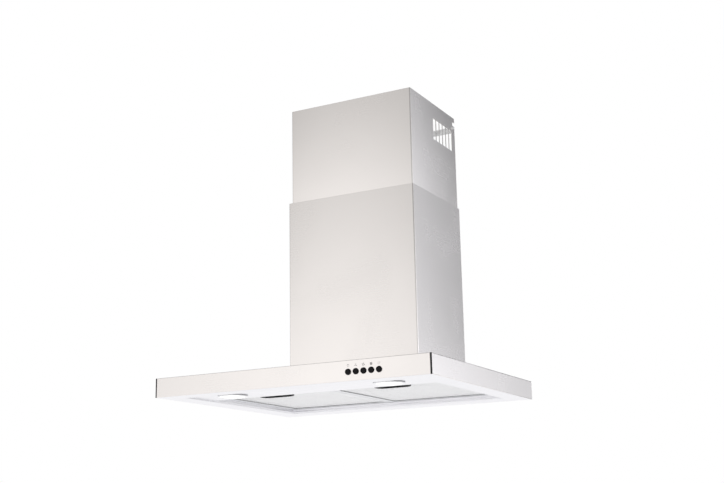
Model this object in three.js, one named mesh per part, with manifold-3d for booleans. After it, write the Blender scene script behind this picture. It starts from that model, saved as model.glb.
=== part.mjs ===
// Wall-mounted chimney range hood: a flat canopy under a two-part telescopic chimney.
// Millimetres. +X is to the right of someone facing the hood, +Y goes into the wall, +Z is up.
// The origin is the middle of the canopy's rear face, on the plane of the wall.

import * as THREE from 'three';
import { mergeVertices } from 'three/addons/utils/BufferGeometryUtils.js';
import Module from 'manifold-3d';

// Sheet and gaps
const sheet = 1; // stainless sheet of the canopy and the chimney
const gap = 0.3; // between pieces that touch
const roundSides = 28; // sides of a large round
const smallSides = 16; // sides of a small round
const holeSides = 12; // sides of a screw's hole

// Canopy
const canopyWidth = 600;
const canopyDepth = 500;
const canopyHeight = 38;
const canopyFlange = 12; // edges folded in under the sides and the rear

// Fascia and its black corner strips
const fasciaThickness = 1.2;
const fasciaFlange = 14;
const fasciaFlangeInset = 18; // the flanges stop short of the canopy's own
const cornerStrip = 2.2;

// Push buttons
const buttonNames = ['button_light', 'button_speed_1', 'button_speed_2', 'button_speed_3', 'button_off'];
const buttonDiameter = 10.6;
const buttonPitch = 15.75;
const buttonRowX = 165.3;
const firstButton = -(buttonNames.length - 1) / 2;
const buttonPlaces = buttonNames.map((name, i) => buttonRowX + (firstButton + i) * buttonPitch);
const buttonRowRise = 16.7; // above the canopy's underside
const buttonProud = 3;
const buttonTravel = 2.5;
const buttonSides = 20;
const buttonHoleGap = 0.6;
const buttonCrown = 0.8; // domed edge of the cap
const buttonCollar = 1.4; // how far the collar behind the fascia stands out
const collarLength = 2;
const stemDiameter = 5;
const stemLength = 14;
const stemGap = 0.5;

// Switch block
const switchWall = 3;
const switchRear = 10; // solid behind the bores

// Underside panel
const creaseSide = 44; // flat border beside the crease
const creaseFront = 40;
const creaseRear = 50;
const creaseStep = 3;
const openingWidth = 500;
const openingFront = 136; // from the canopy's front to the filter opening
const openingRear = 58; // from the wall to the filter opening

// Filters
const filterRecess = 6; // filters sit this far above the panel
const filterThickness = 9;
const filterSeam = 2;
const filterSideGap = 1;
const filterEndGap = 1.5;
const frameBar = 10;
const frameWall = 4; // outer wall of the folded frame
const frameLip = 1;
const rearLedge = 6;
const frontLedge = 8;
const handleX = 132;
const handleFromFront = 44; // filter's front edge to the middle of its handle
const handleLength = 76;
const handleWidth = 34;
const handleProud = 1.5; // rim below the filter's underside
const handleRim = 2;
const handleWall = 1;
const handleCover = 0.5; // mesh above the handle cup
const latchWidth = 16;
const latchOffset = 17; // to the right of the handle's middle
const latchThickness = 1.6;
const latchLevel = 4; // above the filter's underside
const latchSlotGap = 0.5;
const latchPadLength = 15;

// Lamps
const lampX = 174;
const lampFromFront = 84;
const lampHole = 56;
const lampBezel = 62;
const lampLens = 48;
const bezelThickness = 1.1;
const lampWall = 1.3;
const lampTopGap = 6; // to the canopy's top sheet
const lensThickness = 2.2;
const ledThickness = 2;
const ledDiameter = 40;
const ledRise = 4; // below the housing's roof

// Blower
const impellerRadius = 75;
const impellerWidth = 90;
const bladeCount = 20;
const bladeDepth = 11;
const bladeThickness = 1.6;
const bladeTilt = 0.5; // radians
const endRing = 3;
const hubRadius = 10;
const discThickness = 2;
const shaftRadius = 4;
const shaftGap = 0.3;
const scrollClearance = 7;
const scrollGrowth = 16;
const scrollWall = 2;
const scrollCutoff = 75; // degrees round the shaft, from the wall side
const scrollSweep = 255;
const scrollSteps = 26;
const scrollSideGap = 5;
const scrollUnderRoom = 5;
const neckRise = 105; // from the shaft to the top of the scroll's neck
const neckBend = 42; // where the outer wall turns in towards the neck
const neckFront = 15; // the neck stands this far inside the collar at the wall side
const inletRadius = 64;
const motorRadius = 40;
const motorLength = 46;
const shaftTail = 6; // beyond the motor bracket
const bracketThickness = 2;
const bracketArm = 14;
const bracketHub = 24;
const bracketTurn = 0.4; // radians
const sideChamber = 65; // between the scroll and the blower box's side
const boxEndRoom = 5;
const boxFlange = 12;
const boxHangRise = 38; // hanging plate above the box's top
const keyholeX = 85;
const keyholeHead = 10;
const keyholeSlot = 5;
const keyholeDrop = 14;
const intakeInset = 10; // canopy's intake inside the blower box
const capacitorRadius = 15;
const capacitorLength = 52;
const terminalWidth = 30;
const terminalLength = 86;
const terminalHeight = 26;
const terminalRoom = 5; // beside the collar's flange
const terminalWall = 2;
const glandRadius = 7;
const glandLength = 14;
const glandNeck = 4.9; // radius of its threaded end
const glandNut = 8.4; // length of its hexagon

// Outlet collar and its damper flaps
const collarRadius = 75;
const collarWall = 1.5;
const collarHeight = 62;
const collarPlate = 7; // flange beyond the tube
const flapRise = 22; // pin above the collar's flange
const flapThickness = 1.2;
const flapGap = 1.2;
const flapStart = 4.2; // from the pin's axis to the flap's plate
const flapKnuckle = 3.5;
const flapPin = 2;
const knuckleLength = 36;
const stopDepth = 3.5;

// Chimney
const sideRoom = 28; // between the blower box and the upper section
const frontRoom = 18;
const telescopeSideGap = 3;
const telescopeFrontGap = 6;
const lowerHeight = 400;
const upperLength = 400;
const upperShown = 215; // how much of the upper section stands above the lower
const lowerFlange = 12;
const ventFromTop = 35;
const ventHeight = 48;
const ventFromWall = 17.5;
const ventSlots = 6;
const ventSlotWidth = 14.2;
const ventBar = 3;
const notchFromTop = 11;
const notchHeight = 9;
const notchDepth = 11;

// Wall bracket of the upper section
const bracketSheet = 1.5;
const bracketFromTop = 20;
const bracketHeight = 14;
const bracketEar = 17;
const bracketScrewY = 9;
const bracketScrewFromTop = 24;
const wallScrewX = 90;
const wallScrewHole = 7;

// Screws
const screwRadius = 2;
const screwHeadRadius = 3.8;
const screwHead = 2.2;
const screwLength = 9;
const screwHoleGap = 0.3;

// Wiring
const harnessRadius = 3;
const leadRadius = 1.6;
const wireRoom = 4; // under the canopy's top sheet
const wireEndGap = 0.6;
const wireSides = 6;
const wireSteps = 20;
const driverSize = new THREE.Vector3(110, 38, 16);
const driverFromFront = 80;

// Places worked out from the sizes above
const canopyTop = canopyHeight / 2;
const canopyUnder = -canopyHeight / 2;
const canopyFront = -canopyDepth;
const halfCanopy = canopyWidth / 2;
const fasciaBack = canopyFront + fasciaThickness;
const bodyFront = canopyFront + cornerStrip + gap;
const panelLevel = canopyUnder + creaseStep;
const lampY = canopyFront + lampFromFront;
const openingFrontY = canopyFront + openingFront;
const filterUnder = panelLevel + filterRecess;
const filterWidth = (openingWidth - filterSeam) / 2 - filterSideGap;
const filterLength = canopyDepth - openingFront - openingRear - 2 * filterEndGap;
const filterHingeY = -openingRear - rearLedge;
const frontLedgeTop = filterUnder + latchLevel - latchSlotGap;
const buttonRowZ = canopyUnder + buttonRowRise;

const scrollRadius = impellerRadius + scrollClearance + scrollGrowth + scrollWall;
const scrollHalf = impellerWidth / 2 + scrollSideGap + scrollWall;
const boxDepth = 2 * (scrollRadius + boxEndRoom + sheet);
const boxHalf = scrollHalf + sideChamber + sheet;
const boxUnder = canopyTop + gap;
const shaftY = -boxDepth / 2;
const shaftZ = boxUnder + scrollUnderRoom + scrollRadius;
const boxTop = shaftZ + neckRise + gap + sheet;
const collarUnder = boxTop + gap;

const upperHalf = boxHalf + sideRoom + sheet;
const upperDepth = boxDepth + frontRoom + sheet;
const lowerHalf = upperHalf + telescopeSideGap + sheet;
const lowerDepth = upperDepth + telescopeFrontGap + sheet;
const lowerUnder = canopyTop + gap;
const lowerTop = canopyTop + lowerHeight;
const upperTop = lowerTop + upperShown;

// Materials
function finish(color, roughness, metalness) {
  return new THREE.MeshStandardMaterial({ color, roughness, metalness });
}
const brushedSteel = finish(0xd9d6d3, 0.35, 1);
const polishedSteel = finish(0xeeeef2, 0.25, 1);
const galvanised = finish(0xb9bcbe, 0.5, 1);
const aluminium = finish(0xe4e5e8, 0.4, 1);
const chrome = finish(0xdedfe2, 0.1, 1);
const blackPlastic = finish(0x151515, 0.4, 0);
const greyPlastic = finish(0x6f7376, 0.6, 0);
const whitePlastic = finish(0xf2f2f0, 0.5, 0);
const frostedGlass = finish(0xffffff, 0.6, 0);
const cableSheath = finish(0x8f9092, 0.6, 0);

const wasm = await Module();
wasm.setup();

// Turns a closed geometry into a solid that can be joined and cut.
function toSolid(geometry) {
  const bare = geometry.index ? geometry.toNonIndexed() : geometry.clone();
  bare.deleteAttribute('normal');
  bare.deleteAttribute('uv');
  const merged = mergeVertices(bare, 1e-4);
  const vertProperties = new Float32Array(merged.attributes.position.array);
  const triVerts = new Uint32Array(merged.index.array);
  return new wasm.Manifold(new wasm.Mesh({ numProp: 3, vertProperties, triVerts }));
}

function toGeometry(solid) {
  const { vertProperties, triVerts } = solid.getMesh();
  const geometry = new THREE.BufferGeometry();
  geometry.setAttribute('position', new THREE.BufferAttribute(vertProperties, 3));
  geometry.setIndex(new THREE.BufferAttribute(triVerts, 1));
  geometry.computeVertexNormals();
  return geometry;
}

function block([x0, x1], [y0, y1], [z0, z1]) {
  const geometry = new THREE.BoxGeometry(x1 - x0, y1 - y0, z1 - z0);
  geometry.translate((x0 + x1) / 2, (y0 + y1) / 2, (z0 + z1) / 2);
  return toSolid(geometry);
}

// A round bar along one axis, from one coordinate to the other, at a place in the plane across it.
function rod(axis, radius, [from, to], [u, v], sides = smallSides) {
  const geometry = new THREE.CylinderGeometry(radius, radius, to - from, sides);
  const middle = (from + to) / 2;
  if (axis === 'x') geometry.rotateZ(-Math.PI / 2).translate(middle, u, v);
  if (axis === 'y') geometry.translate(u, middle, v);
  if (axis === 'z') geometry.rotateX(Math.PI / 2).translate(u, v, middle);
  return toSolid(geometry);
}

// A body turned about Z. The profile's points are [radius, z], up the outside and down the inside.
function turned(profile, sides = roundSides) {
  const geometry = new THREE.LatheGeometry(profile.map(([r, z]) => new THREE.Vector2(r, z)), sides);
  return toSolid(geometry.rotateX(Math.PI / 2));
}

// An outline in the YZ plane, drawn out along X.
function drawnAlongX(shape, [x0, x1]) {
  const geometry = new THREE.ExtrudeGeometry(shape, { depth: x1 - x0, bevelEnabled: false });
  const yToU = new THREE.Vector3(0, 1, 0);
  const zToV = new THREE.Vector3(0, 0, 1);
  const xToW = new THREE.Vector3(1, 0, 0);
  geometry.applyMatrix4(new THREE.Matrix4().makeBasis(yToU, zToV, xToW)).translate(x0, 0, 0);
  return toSolid(geometry);
}

// An outline in the XY plane, drawn up along Z.
function drawnUp(shape, [z0, z1], curveSegments = 8) {
  const settings = { depth: z1 - z0, bevelEnabled: false, curveSegments };
  return toSolid(new THREE.ExtrudeGeometry(shape, settings).translate(0, 0, z0));
}

function stadium(length, width, [x, y]) {
  const radius = width / 2;
  const straight = length / 2 - radius;
  const shape = new THREE.Shape();
  shape.absarc(x + straight, y, radius, -Math.PI / 2, Math.PI / 2, false);
  shape.absarc(x - straight, y, radius, Math.PI / 2, 1.5 * Math.PI, false);
  shape.closePath();
  return shape;
}

// A wire along a smooth curve through the given points.
function wire(radius, points) {
  const section = new THREE.Shape();
  for (let i = 0; i < wireSides; i += 1) {
    const angle = (i * 2 * Math.PI) / wireSides;
    const move = i === 0 ? 'moveTo' : 'lineTo';
    section[move](radius * Math.cos(angle), radius * Math.sin(angle));
  }
  section.closePath();
  const curve = new THREE.CatmullRomCurve3(points.map((p) => new THREE.Vector3(...p)));
  return toSolid(new THREE.ExtrudeGeometry(section, { steps: wireSteps, extrudePath: curve }));
}

function ordered(a, b) {
  return [Math.min(a, b), Math.max(a, b)];
}

// A range made longer by the same amount at both ends.
function grown([from, to], by) {
  return [from - by, to + by];
}

function joined(first, ...others) {
  return others.reduce((whole, part) => whole.add(part), first);
}

function cut(first, ...tools) {
  return tools.reduce((whole, tool) => whole.subtract(tool), first);
}

function piece(name, solid, material, group) {
  const mesh = new THREE.Mesh(toGeometry(solid), material);
  mesh.name = name;
  group.add(mesh);
  return mesh;
}

const hood = new THREE.Group();

// ---- Canopy ----

// Places of the screws that stand on the canopy's top, as [x, y].
const boxScrews = [];
for (const side of [-1, 1]) {
  for (const y of [-boxFlange * 2, -boxDepth + boxFlange * 2]) {
    boxScrews.push([side * (boxHalf + boxFlange / 2), y]);
  }
}
const lowerScrews = [-1, 1].map((side) => [side * (lowerHalf - sheet - lowerFlange / 2), -lowerDepth / 2]);

function canopyShell() {
  const outerX = [-halfCanopy, halfCanopy];
  const innerX = [sheet - halfCanopy, halfCanopy - sheet];
  const flangeX = [innerX[0] + canopyFlange, innerX[1] - canopyFlange];
  const innerY = [bodyFront - 1, -sheet];
  const flangeZ = [canopyUnder + sheet + gap, canopyUnder + 2 * sheet + gap];
  const throat = boxHalf - intakeInset;
  const throughTop = [canopyTop - 2 * sheet, canopyTop + sheet];
  let shell = cut(
    block(outerX, [bodyFront, 0], [canopyUnder, canopyTop]),
    block(innerX, innerY, [flangeZ[1], canopyTop - sheet]),
    block(innerX, innerY, [canopyUnder - 1, flangeZ[0]]),
    block(flangeX, [innerY[0], innerY[1] - canopyFlange], [flangeZ[0] - 1, flangeZ[1] + 1]),
    block([-throat, throat], [-boxDepth + intakeInset, -intakeInset - sheet], throughTop),
  );
  for (const place of [...boxScrews, ...lowerScrews]) {
    shell = cut(shell, rod('z', screwRadius + screwHoleGap, throughTop, place, holeSides));
  }
  return shell;
}

function frontFascia() {
  const half = halfCanopy - cornerStrip - gap;
  const flangeHalf = halfCanopy - fasciaFlangeInset;
  const flangeY = [canopyFront + fasciaThickness / 2, canopyFront + fasciaFlange];
  const upper = canopyTop - sheet - gap;
  const lower = canopyUnder + sheet + gap;
  let fascia = joined(
    block([-half, half], [canopyFront, fasciaBack], [canopyUnder, canopyTop]),
    block([-flangeHalf, flangeHalf], flangeY, [upper - fasciaThickness, upper]),
    block([-flangeHalf, flangeHalf], flangeY, [lower, lower + fasciaThickness]),
  );
  const hole = buttonDiameter / 2 + buttonHoleGap;
  for (const x of buttonPlaces) {
    fascia = cut(fascia, rod('y', hole, [canopyFront - 1, fasciaBack + 1], [x, buttonRowZ], buttonSides));
  }
  return fascia;
}

function undersidePanel() {
  const borderHalf = halfCanopy - sheet - gap;
  const creaseHalf = halfCanopy - creaseSide;
  const creaseY = [canopyFront + creaseFront, -creaseRear];
  const borderY = [bodyFront, -sheet - gap];
  const openX = [-openingWidth / 2, openingWidth / 2];
  const openY = [openingFrontY, -openingRear];
  const wallTop = filterUnder + filterThickness;
  const raised = [canopyUnder, panelLevel + sheet];
  let panel = joined(
    block([-borderHalf, borderHalf], borderY, [canopyUnder, canopyUnder + sheet]),
    block([-creaseHalf, creaseHalf], creaseY, raised),
    block(grown(openX, sheet), grown(openY, sheet), [canopyUnder, wallTop]),
  );
  const pan = [canopyUnder - sheet, panelLevel];
  panel = cut(
    panel,
    block([sheet - creaseHalf, creaseHalf - sheet], grown(creaseY, -sheet), pan),
    block(openX, openY, [panelLevel - sheet, wallTop + sheet]),
    block(openX, [openY[0] - 2 * sheet, openY[0] + sheet], [frontLedgeTop, wallTop + sheet]),
  );
  const rearLedgeTop = filterUnder - gap;
  panel = joined(
    panel,
    block(openX, [openY[0] - frontLedge, openY[0]], [frontLedgeTop - sheet, frontLedgeTop]),
    block(openX, [openY[1] - rearLedge, openY[1] + sheet], [rearLedgeTop - sheet, rearLedgeTop]),
  );
  for (const side of [-1, 1]) {
    const place = [side * lampX, lampY];
    panel = cut(panel, rod('z', lampHole / 2, [canopyUnder, panelLevel + 2 * sheet], place, roundSides));
  }
  return panel;
}

function cornerStripPiece(side) {
  const across = ordered(side * halfCanopy, side * (halfCanopy - cornerStrip));
  return block(across, [canopyFront, canopyFront + cornerStrip], [canopyUnder, canopyTop]);
}

// ---- Buttons and their switch block ----

const capLength = buttonProud + fasciaThickness + gap + collarLength + buttonTravel;
const switchPocket = capLength - buttonProud + buttonTravel + gap;

// Along Y, with its face at the origin and its stem going back into the hood.
function pushButton() {
  const radius = buttonDiameter / 2;
  const collarRadiusOut = radius + buttonCollar;
  const collarStart = capLength - collarLength;
  const profile = [
    [0, -capLength - stemLength],
    [stemDiameter / 2, -capLength - stemLength],
    [stemDiameter / 2, -capLength],
    [collarRadiusOut, -capLength],
    [collarRadiusOut, -collarStart],
    [radius, -collarStart],
    [radius, -buttonCrown],
    [radius - buttonCrown, 0],
    [0, 0],
  ];
  const geometry = new THREE.LatheGeometry(profile.map(([r, y]) => new THREE.Vector2(r, y)), buttonSides);
  return toSolid(geometry.rotateX(Math.PI));
}

function switchBlock() {
  const reach = buttonDiameter / 2 + buttonCollar + gap;
  const halfRow = ((buttonNames.length - 1) / 2) * buttonPitch + reach;
  const front = fasciaBack + gap;
  const pocketBack = canopyFront + switchPocket;
  const boreBack = pocketBack + stemLength + buttonTravel;
  const acrossX = [buttonRowX - halfRow, buttonRowX + halfRow];
  const acrossZ = [buttonRowZ - reach, buttonRowZ + reach];
  let housing = block(grown(acrossX, switchWall), [front, boreBack + switchRear], grown(acrossZ, switchWall));
  housing = cut(housing, block(acrossX, [front - 1, pocketBack], acrossZ));
  for (const x of buttonPlaces) {
    const bore = rod('y', stemDiameter / 2 + stemGap, [pocketBack - 1, boreBack], [x, buttonRowZ]);
    housing = cut(housing, bore);
  }
  return housing;
}
const switchBack = canopyFront + switchPocket + stemLength + buttonTravel + switchRear;

// ---- Filters ----
// Each filter is drawn about its hinge line: the rear ledge's front edge, at the filter's underside.

const filterRearY = rearLedge - filterEndGap;
const filterFrontY = filterRearY - filterLength;
const halfFilter = filterWidth / 2;
const handleY = filterFrontY + handleFromFront;
const latchZ = [latchLevel, latchLevel + latchThickness];
const slotZ = [latchLevel - latchSlotGap, latchLevel + latchThickness + latchSlotGap];

function latchSlotX(handle) {
  const half = latchWidth / 2 + latchSlotGap;
  return [handle + latchOffset - half, handle + latchOffset + half];
}

function filterFrame(handle) {
  const outerX = [-halfFilter, halfFilter];
  const outerY = [filterFrontY, filterRearY];
  return cut(
    block(outerX, outerY, [0, filterThickness]),
    block(grown(outerX, -frameBar), grown(outerY, -frameBar), [-1, filterThickness + 1]),
    block(grown(outerX, -frameWall), grown(outerY, -frameWall), [frameLip, filterThickness - frameLip]),
    block(latchSlotX(handle), [filterFrontY - 1, filterFrontY + frameBar], slotZ),
  );
}

function filterMesh(handle) {
  const edge = frameWall + gap;
  const level = [frameLip + gap, filterThickness - frameLip - gap];
  const pad = block(
    [-halfFilter + edge, halfFilter - edge],
    [filterFrontY + edge, filterRearY - edge],
    level,
  );
  const rim = 2 * (handleRim - gap);
  const cupHole = stadium(handleLength - rim, handleWidth - rim, [handle, handleY]);
  return cut(
    pad,
    drawnUp(cupHole, [level[0] - 1, level[1] + 1]),
    block(latchSlotX(handle), [filterFrontY, handleY], slotZ),
  );
}

function handleCup(handle) {
  const dish = [handleLength - 2 * handleRim, handleWidth - 2 * handleRim];
  const place = [handle, handleY];
  const rimLevel = [-handleProud, frameLip];
  const roof = filterThickness - handleCover;
  const rim = drawnUp(stadium(handleLength, handleWidth, place), rimLevel);
  const bowl = drawnUp(stadium(...dish, place), [rimLevel[0], roof]);
  const inside = drawnUp(
    stadium(dish[0] - 2 * handleWall, dish[1] - 2 * handleWall, place),
    [rimLevel[0] - 1, roof - handleWall],
  );
  const slot = block(latchSlotX(handle), [handleY - handleWidth, handleY], slotZ);
  return cut(joined(rim, bowl), inside, slot);
}

// The tongue at rest is just inside the frame; it slides forward over the panel's front ledge.
function filterLatch(handle) {
  const middle = handle + latchOffset;
  const across = [middle - latchWidth / 2, middle + latchWidth / 2];
  const padRear = handleY + latchPadLength / 2;
  const tongue = block(across, [filterFrontY + latchSlotGap, padRear], latchZ);
  const finger = block(across, [padRear - latchThickness, padRear], [frameLip, latchZ[1]]);
  return joined(tongue, finger);
}

// ---- Lamps ----
// Each lamp is drawn about the middle of its hole, at the panel's underside.

const housingRoof = canopyTop - sheet - lampTopGap - panelLevel;

function lampHousing() {
  const radius = lampHole / 2 - gap;
  const flange = lampBezel / 2 - lampWall;
  return turned([
    [flange, -gap - lampWall],
    [flange, -gap],
    [radius, -gap],
    [radius, housingRoof],
    [0, housingRoof],
    [0, housingRoof - lampWall],
    [radius - lampWall, housingRoof - lampWall],
    [radius - lampWall, -gap - lampWall],
    [flange, -gap - lampWall],
  ]);
}

function lampBezelRing() {
  const top = -2 * gap - lampWall;
  const under = top - bezelThickness;
  return turned([
    [lampLens / 2, under],
    [lampBezel / 2 - bezelThickness, under],
    [lampBezel / 2, under + bezelThickness / 2],
    [lampBezel / 2, top],
    [lampLens / 2, top],
    [lampLens / 2, under],
  ]);
}

function lampLensDisc() {
  const under = -gap - lampWall;
  return rod('z', lampHole / 2 - 2 * gap - lampWall, [under, under + lensThickness], [0, 0], roundSides);
}

function lampLed() {
  const top = housingRoof - ledRise;
  const board = rod('z', ledDiameter / 2, [top - ledThickness, top], [0, 0], roundSides);
  return joined(board, rod('z', ledDiameter / 4, [top - 2 * ledThickness, top], [0, 0]));
}

// ---- Blower ----

// The scroll's outline in the YZ plane about the shaft, drawn smaller by inset.
function scrollOutline(inset, rise) {
  const start = impellerRadius + scrollClearance + scrollWall - inset;
  const shape = new THREE.Shape();
  for (let i = 0; i <= scrollSteps; i += 1) {
    const turned = scrollCutoff - (scrollSweep * i) / scrollSteps;
    const angle = THREE.MathUtils.degToRad(turned);
    const radius = start + (scrollGrowth * i) / scrollSteps;
    const move = i === 0 ? 'moveTo' : 'lineTo';
    shape[move](radius * Math.cos(angle), radius * Math.sin(angle));
  }
  shape.lineTo(-start - scrollGrowth, neckBend);
  shape.lineTo(inset - collarRadius + 2 * collarWall, rise);
  shape.lineTo(collarRadius - neckFront - inset, rise);
  shape.closePath();
  return shape;
}

function scrollHalfPiece(side) {
  const outerX = ordered(side * gap / 2, side * scrollHalf);
  const innerX = ordered(-side * gap, side * (scrollHalf - scrollWall));
  const inletX = ordered(side * (scrollHalf - 2 * scrollWall), side * (scrollHalf + 1));
  const shell = drawnAlongX(scrollOutline(0, neckRise), outerX);
  const inside = drawnAlongX(scrollOutline(scrollWall, neckRise + 1), innerX);
  return cut(shell, inside, rod('x', inletRadius, inletX, [0, 0], roundSides));
}

function impellerWheel() {
  const half = impellerWidth / 2;
  const inner = impellerRadius - bladeDepth - 1;
  const disc = rod('x', impellerRadius, [-discThickness / 2, discThickness / 2], [0, 0], roundSides);
  const hub = rod('x', hubRadius, [-2 * discThickness, half / 2], [0, 0]);
  let wheel = joined(disc, hub);
  for (const side of [-1, 1]) {
    const ringX = ordered(side * half, side * (half - endRing));
    const ring = cut(
      rod('x', impellerRadius, ringX, [0, 0], roundSides),
      rod('x', inner, [ringX[0] - 1, ringX[1] + 1], [0, 0], roundSides),
    );
    wheel = joined(wheel, ring);
  }
  for (let i = 0; i < bladeCount; i += 1) {
    const geometry = new THREE.BoxGeometry(impellerWidth - endRing, bladeDepth, bladeThickness);
    geometry.rotateX(bladeTilt).translate(0, impellerRadius - bladeDepth / 2 - 1, 0);
    geometry.rotateX((i * 2 * Math.PI) / bladeCount);
    wheel = joined(wheel, toSolid(geometry));
  }
  return cut(wheel, rod('x', shaftRadius, [-half, half], [0, 0]));
}

const motorX = [-scrollHalf, -scrollHalf + motorLength];

function motorShaft() {
  return rod('x', shaftRadius - gap, [motorX[0] - bracketThickness - shaftTail, hubRadius * 2], [0, 0]);
}

function motorBody() {
  const body = rod('x', motorRadius, motorX, [0, 0], 24);
  const boss = rod('x', hubRadius * 1.4, [motorX[1] - 1, motorX[1] + 1], [0, 0]);
  return cut(joined(body, boss), rod('x', shaftRadius + shaftGap, [motorX[0] - 1, motorX[1] + 2], [0, 0]));
}

// Three arms from the motor's end to the rim of the scroll's inlet.
function motorBracket() {
  const across = [motorX[0] - gap - bracketThickness, motorX[0] - gap];
  let bracket = rod('x', bracketHub, across, [0, 0], 24);
  for (let i = 0; i < 3; i += 1) {
    const reach = inletRadius + bracketArm;
    const arm = new THREE.BoxGeometry(bracketThickness, reach, bracketArm);
    arm.translate((across[0] + across[1]) / 2, reach / 2, 0).rotateX((i * 2 * Math.PI) / 3 + bracketTurn);
    bracket = joined(bracket, toSolid(arm));
  }
  return cut(bracket, rod('x', shaftRadius + shaftGap, [across[0] - 1, across[1] + 1], [0, 0]));
}

function blowerBox() {
  const outerX = [-boxHalf, boxHalf];
  const depth = [-boxDepth, 0];
  const throughTop = [boxTop - 2 * sheet, boxTop + sheet];
  let box = joined(
    block(outerX, depth, [boxUnder, boxTop]),
    block([-boxHalf - boxFlange, boxHalf + boxFlange], depth, [boxUnder, boxUnder + sheet]),
    block(outerX, [-sheet, 0], [boxUnder, boxTop + boxHangRise]),
  );
  box = cut(
    box,
    block([sheet - boxHalf, boxHalf - sheet], [sheet - boxDepth, -sheet], [boxUnder - 1, boxTop - sheet]),
    rod('z', collarRadius - 2 * collarWall, throughTop, [0, shaftY], roundSides),
    rod('z', harnessRadius + 1, throughTop, harnessRise),
  );
  for (const place of boxScrews) {
    box = cut(box, rod('z', screwRadius + screwHoleGap, [boxUnder - 1, boxUnder + 2 * sheet], place));
  }
  const headZ = boxTop + boxHangRise - keyholeDrop - keyholeHead;
  for (const side of [-1, 1]) {
    const x = side * keyholeX;
    const slot = [x - keyholeSlot / 2, x + keyholeSlot / 2];
    box = cut(
      box,
      rod('y', keyholeHead / 2, [-2 * sheet, sheet], [x, headZ]),
      block(slot, [-2 * sheet, sheet], [headZ, headZ + keyholeDrop]),
    );
  }
  return box;
}

const terminalStart = collarRadius + collarPlate + terminalRoom;
const terminalX = [terminalStart, terminalStart + terminalWidth];
const terminalY = [shaftY - terminalLength / 2, shaftY + terminalLength / 2];
const harnessRise = [(terminalX[0] + terminalX[1]) / 2, shaftY];

function terminalBox() {
  const level = [boxTop + gap, boxTop + gap + terminalHeight];
  const glandX = (terminalX[0] + terminalX[1]) / 2;
  const glandZ = (level[0] + level[1]) / 2;
  return cut(
    block(terminalX, terminalY, level),
    block(grown(terminalX, -terminalWall), grown(terminalY, -terminalWall), grown(level, -terminalWall)),
    rod('z', harnessRadius + 1, [level[0] - 1, level[0] + 2 * terminalWall], harnessRise),
    rod('y', glandNeck + gap, [terminalY[0] - 1, terminalY[0] + 2 * terminalWall], [glandX, glandZ]),
  );
}

function cableGland() {
  const x = (terminalX[0] + terminalX[1]) / 2;
  const z = boxTop + gap + terminalHeight / 2;
  const face = terminalY[0] - gap;
  return cut(
    joined(
      rod('y', glandRadius, [face - glandNut, face], [x, z], 6),
      rod('y', glandNeck, [face - glandLength, face + terminalWall + gap], [x, z]),
    ),
    rod('y', harnessRadius, [face - glandLength - 1, face + terminalWall + 1], [x, z]),
  );
}

function outletCollar() {
  const half = collarRadius + collarPlate;
  const plate = block([-half, half], [-half, half], [0, sheet + collarWall]);
  const top = collarHeight;
  const stop = flapRise - flapThickness / 2 - gap;
  const pinHole = rod('x', flapPin + gap, [-half, half], [0, flapRise]);
  return cut(
    joined(plate, rod('z', collarRadius, [0, top], [0, 0], roundSides)),
    rod('z', collarRadius - collarWall, [stop, top + 1], [0, 0], roundSides),
    rod('z', collarRadius - collarWall - stopDepth, [-1, stop + 1], [0, 0], roundSides),
    rod('z', collarRadius - collarWall, [-1, stop - collarWall], [0, 0], roundSides),
    pinHole,
  );
}

// Half of a disc with one knuckle, about the pin. side 1 is the wall side, -1 the front.
function damperFlap(side) {
  const radius = collarRadius - collarWall - flapGap;
  const level = [-flapThickness / 2, flapThickness / 2];
  const disc = rod('z', radius, level, [0, 0], roundSides);
  const otherHalf = ordered(-side * (radius + 1), side * flapStart);
  const cutAway = block([-radius - 1, radius + 1], otherHalf, grown(level, 1));
  const knuckleX = ordered(side * gap, side * knuckleLength);
  const tab = block(knuckleX, ordered(side, side * (flapStart + 1)), level);
  const knuckle = rod('x', flapKnuckle, knuckleX, [0, 0]);
  const bore = rod('x', flapPin + gap, [knuckleX[0] - 1, knuckleX[1] + 1], [0, 0]);
  return cut(joined(cut(disc, cutAway), tab, knuckle), bore);
}

// ---- Chimney ----

// A three-sided cover, open to the wall.
function cover(half, depth, [z0, z1]) {
  return cut(
    block([-half, half], [-depth, 0], [z0, z1]),
    block([sheet - half, half - sheet], [sheet - depth, 1], [z0 - 1, z1 + 1]),
  );
}

function lowerCover() {
  let section = cover(lowerHalf, lowerDepth, [lowerUnder, lowerTop]);
  for (const side of [-1, 1]) {
    const across = ordered(side * (lowerHalf - sheet / 2), side * (lowerHalf - sheet - lowerFlange));
    section = joined(section, block(across, [-lowerDepth + sheet / 2, 0], [lowerUnder, lowerUnder + sheet]));
  }
  for (const place of lowerScrews) {
    const hole = rod('z', screwRadius + screwHoleGap, [lowerUnder - 1, lowerUnder + 2 * sheet], place);
    section = cut(section, hole);
  }
  return section;
}

function upperCover() {
  let section = cover(upperHalf, upperDepth, [upperTop - upperLength, upperTop]);
  const ventZ = [upperTop - ventFromTop - ventHeight, upperTop - ventFromTop];
  const notchZ = [upperTop - notchFromTop - notchHeight, upperTop - notchFromTop];
  for (const side of [-1, 1]) {
    const wall = ordered(side * (upperHalf - 2 * sheet), side * (upperHalf + sheet));
    for (let i = 0; i < ventSlots; i += 1) {
      const rear = -ventFromWall - i * (ventSlotWidth + ventBar);
      section = cut(section, block(wall, [rear - ventSlotWidth, rear], ventZ));
    }
    section = cut(
      section,
      block(wall, [-notchDepth, 1], notchZ),
      rod('x', screwRadius + screwHoleGap, wall, [-bracketScrewY, upperTop - bracketScrewFromTop]),
    );
  }
  return section;
}

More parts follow.
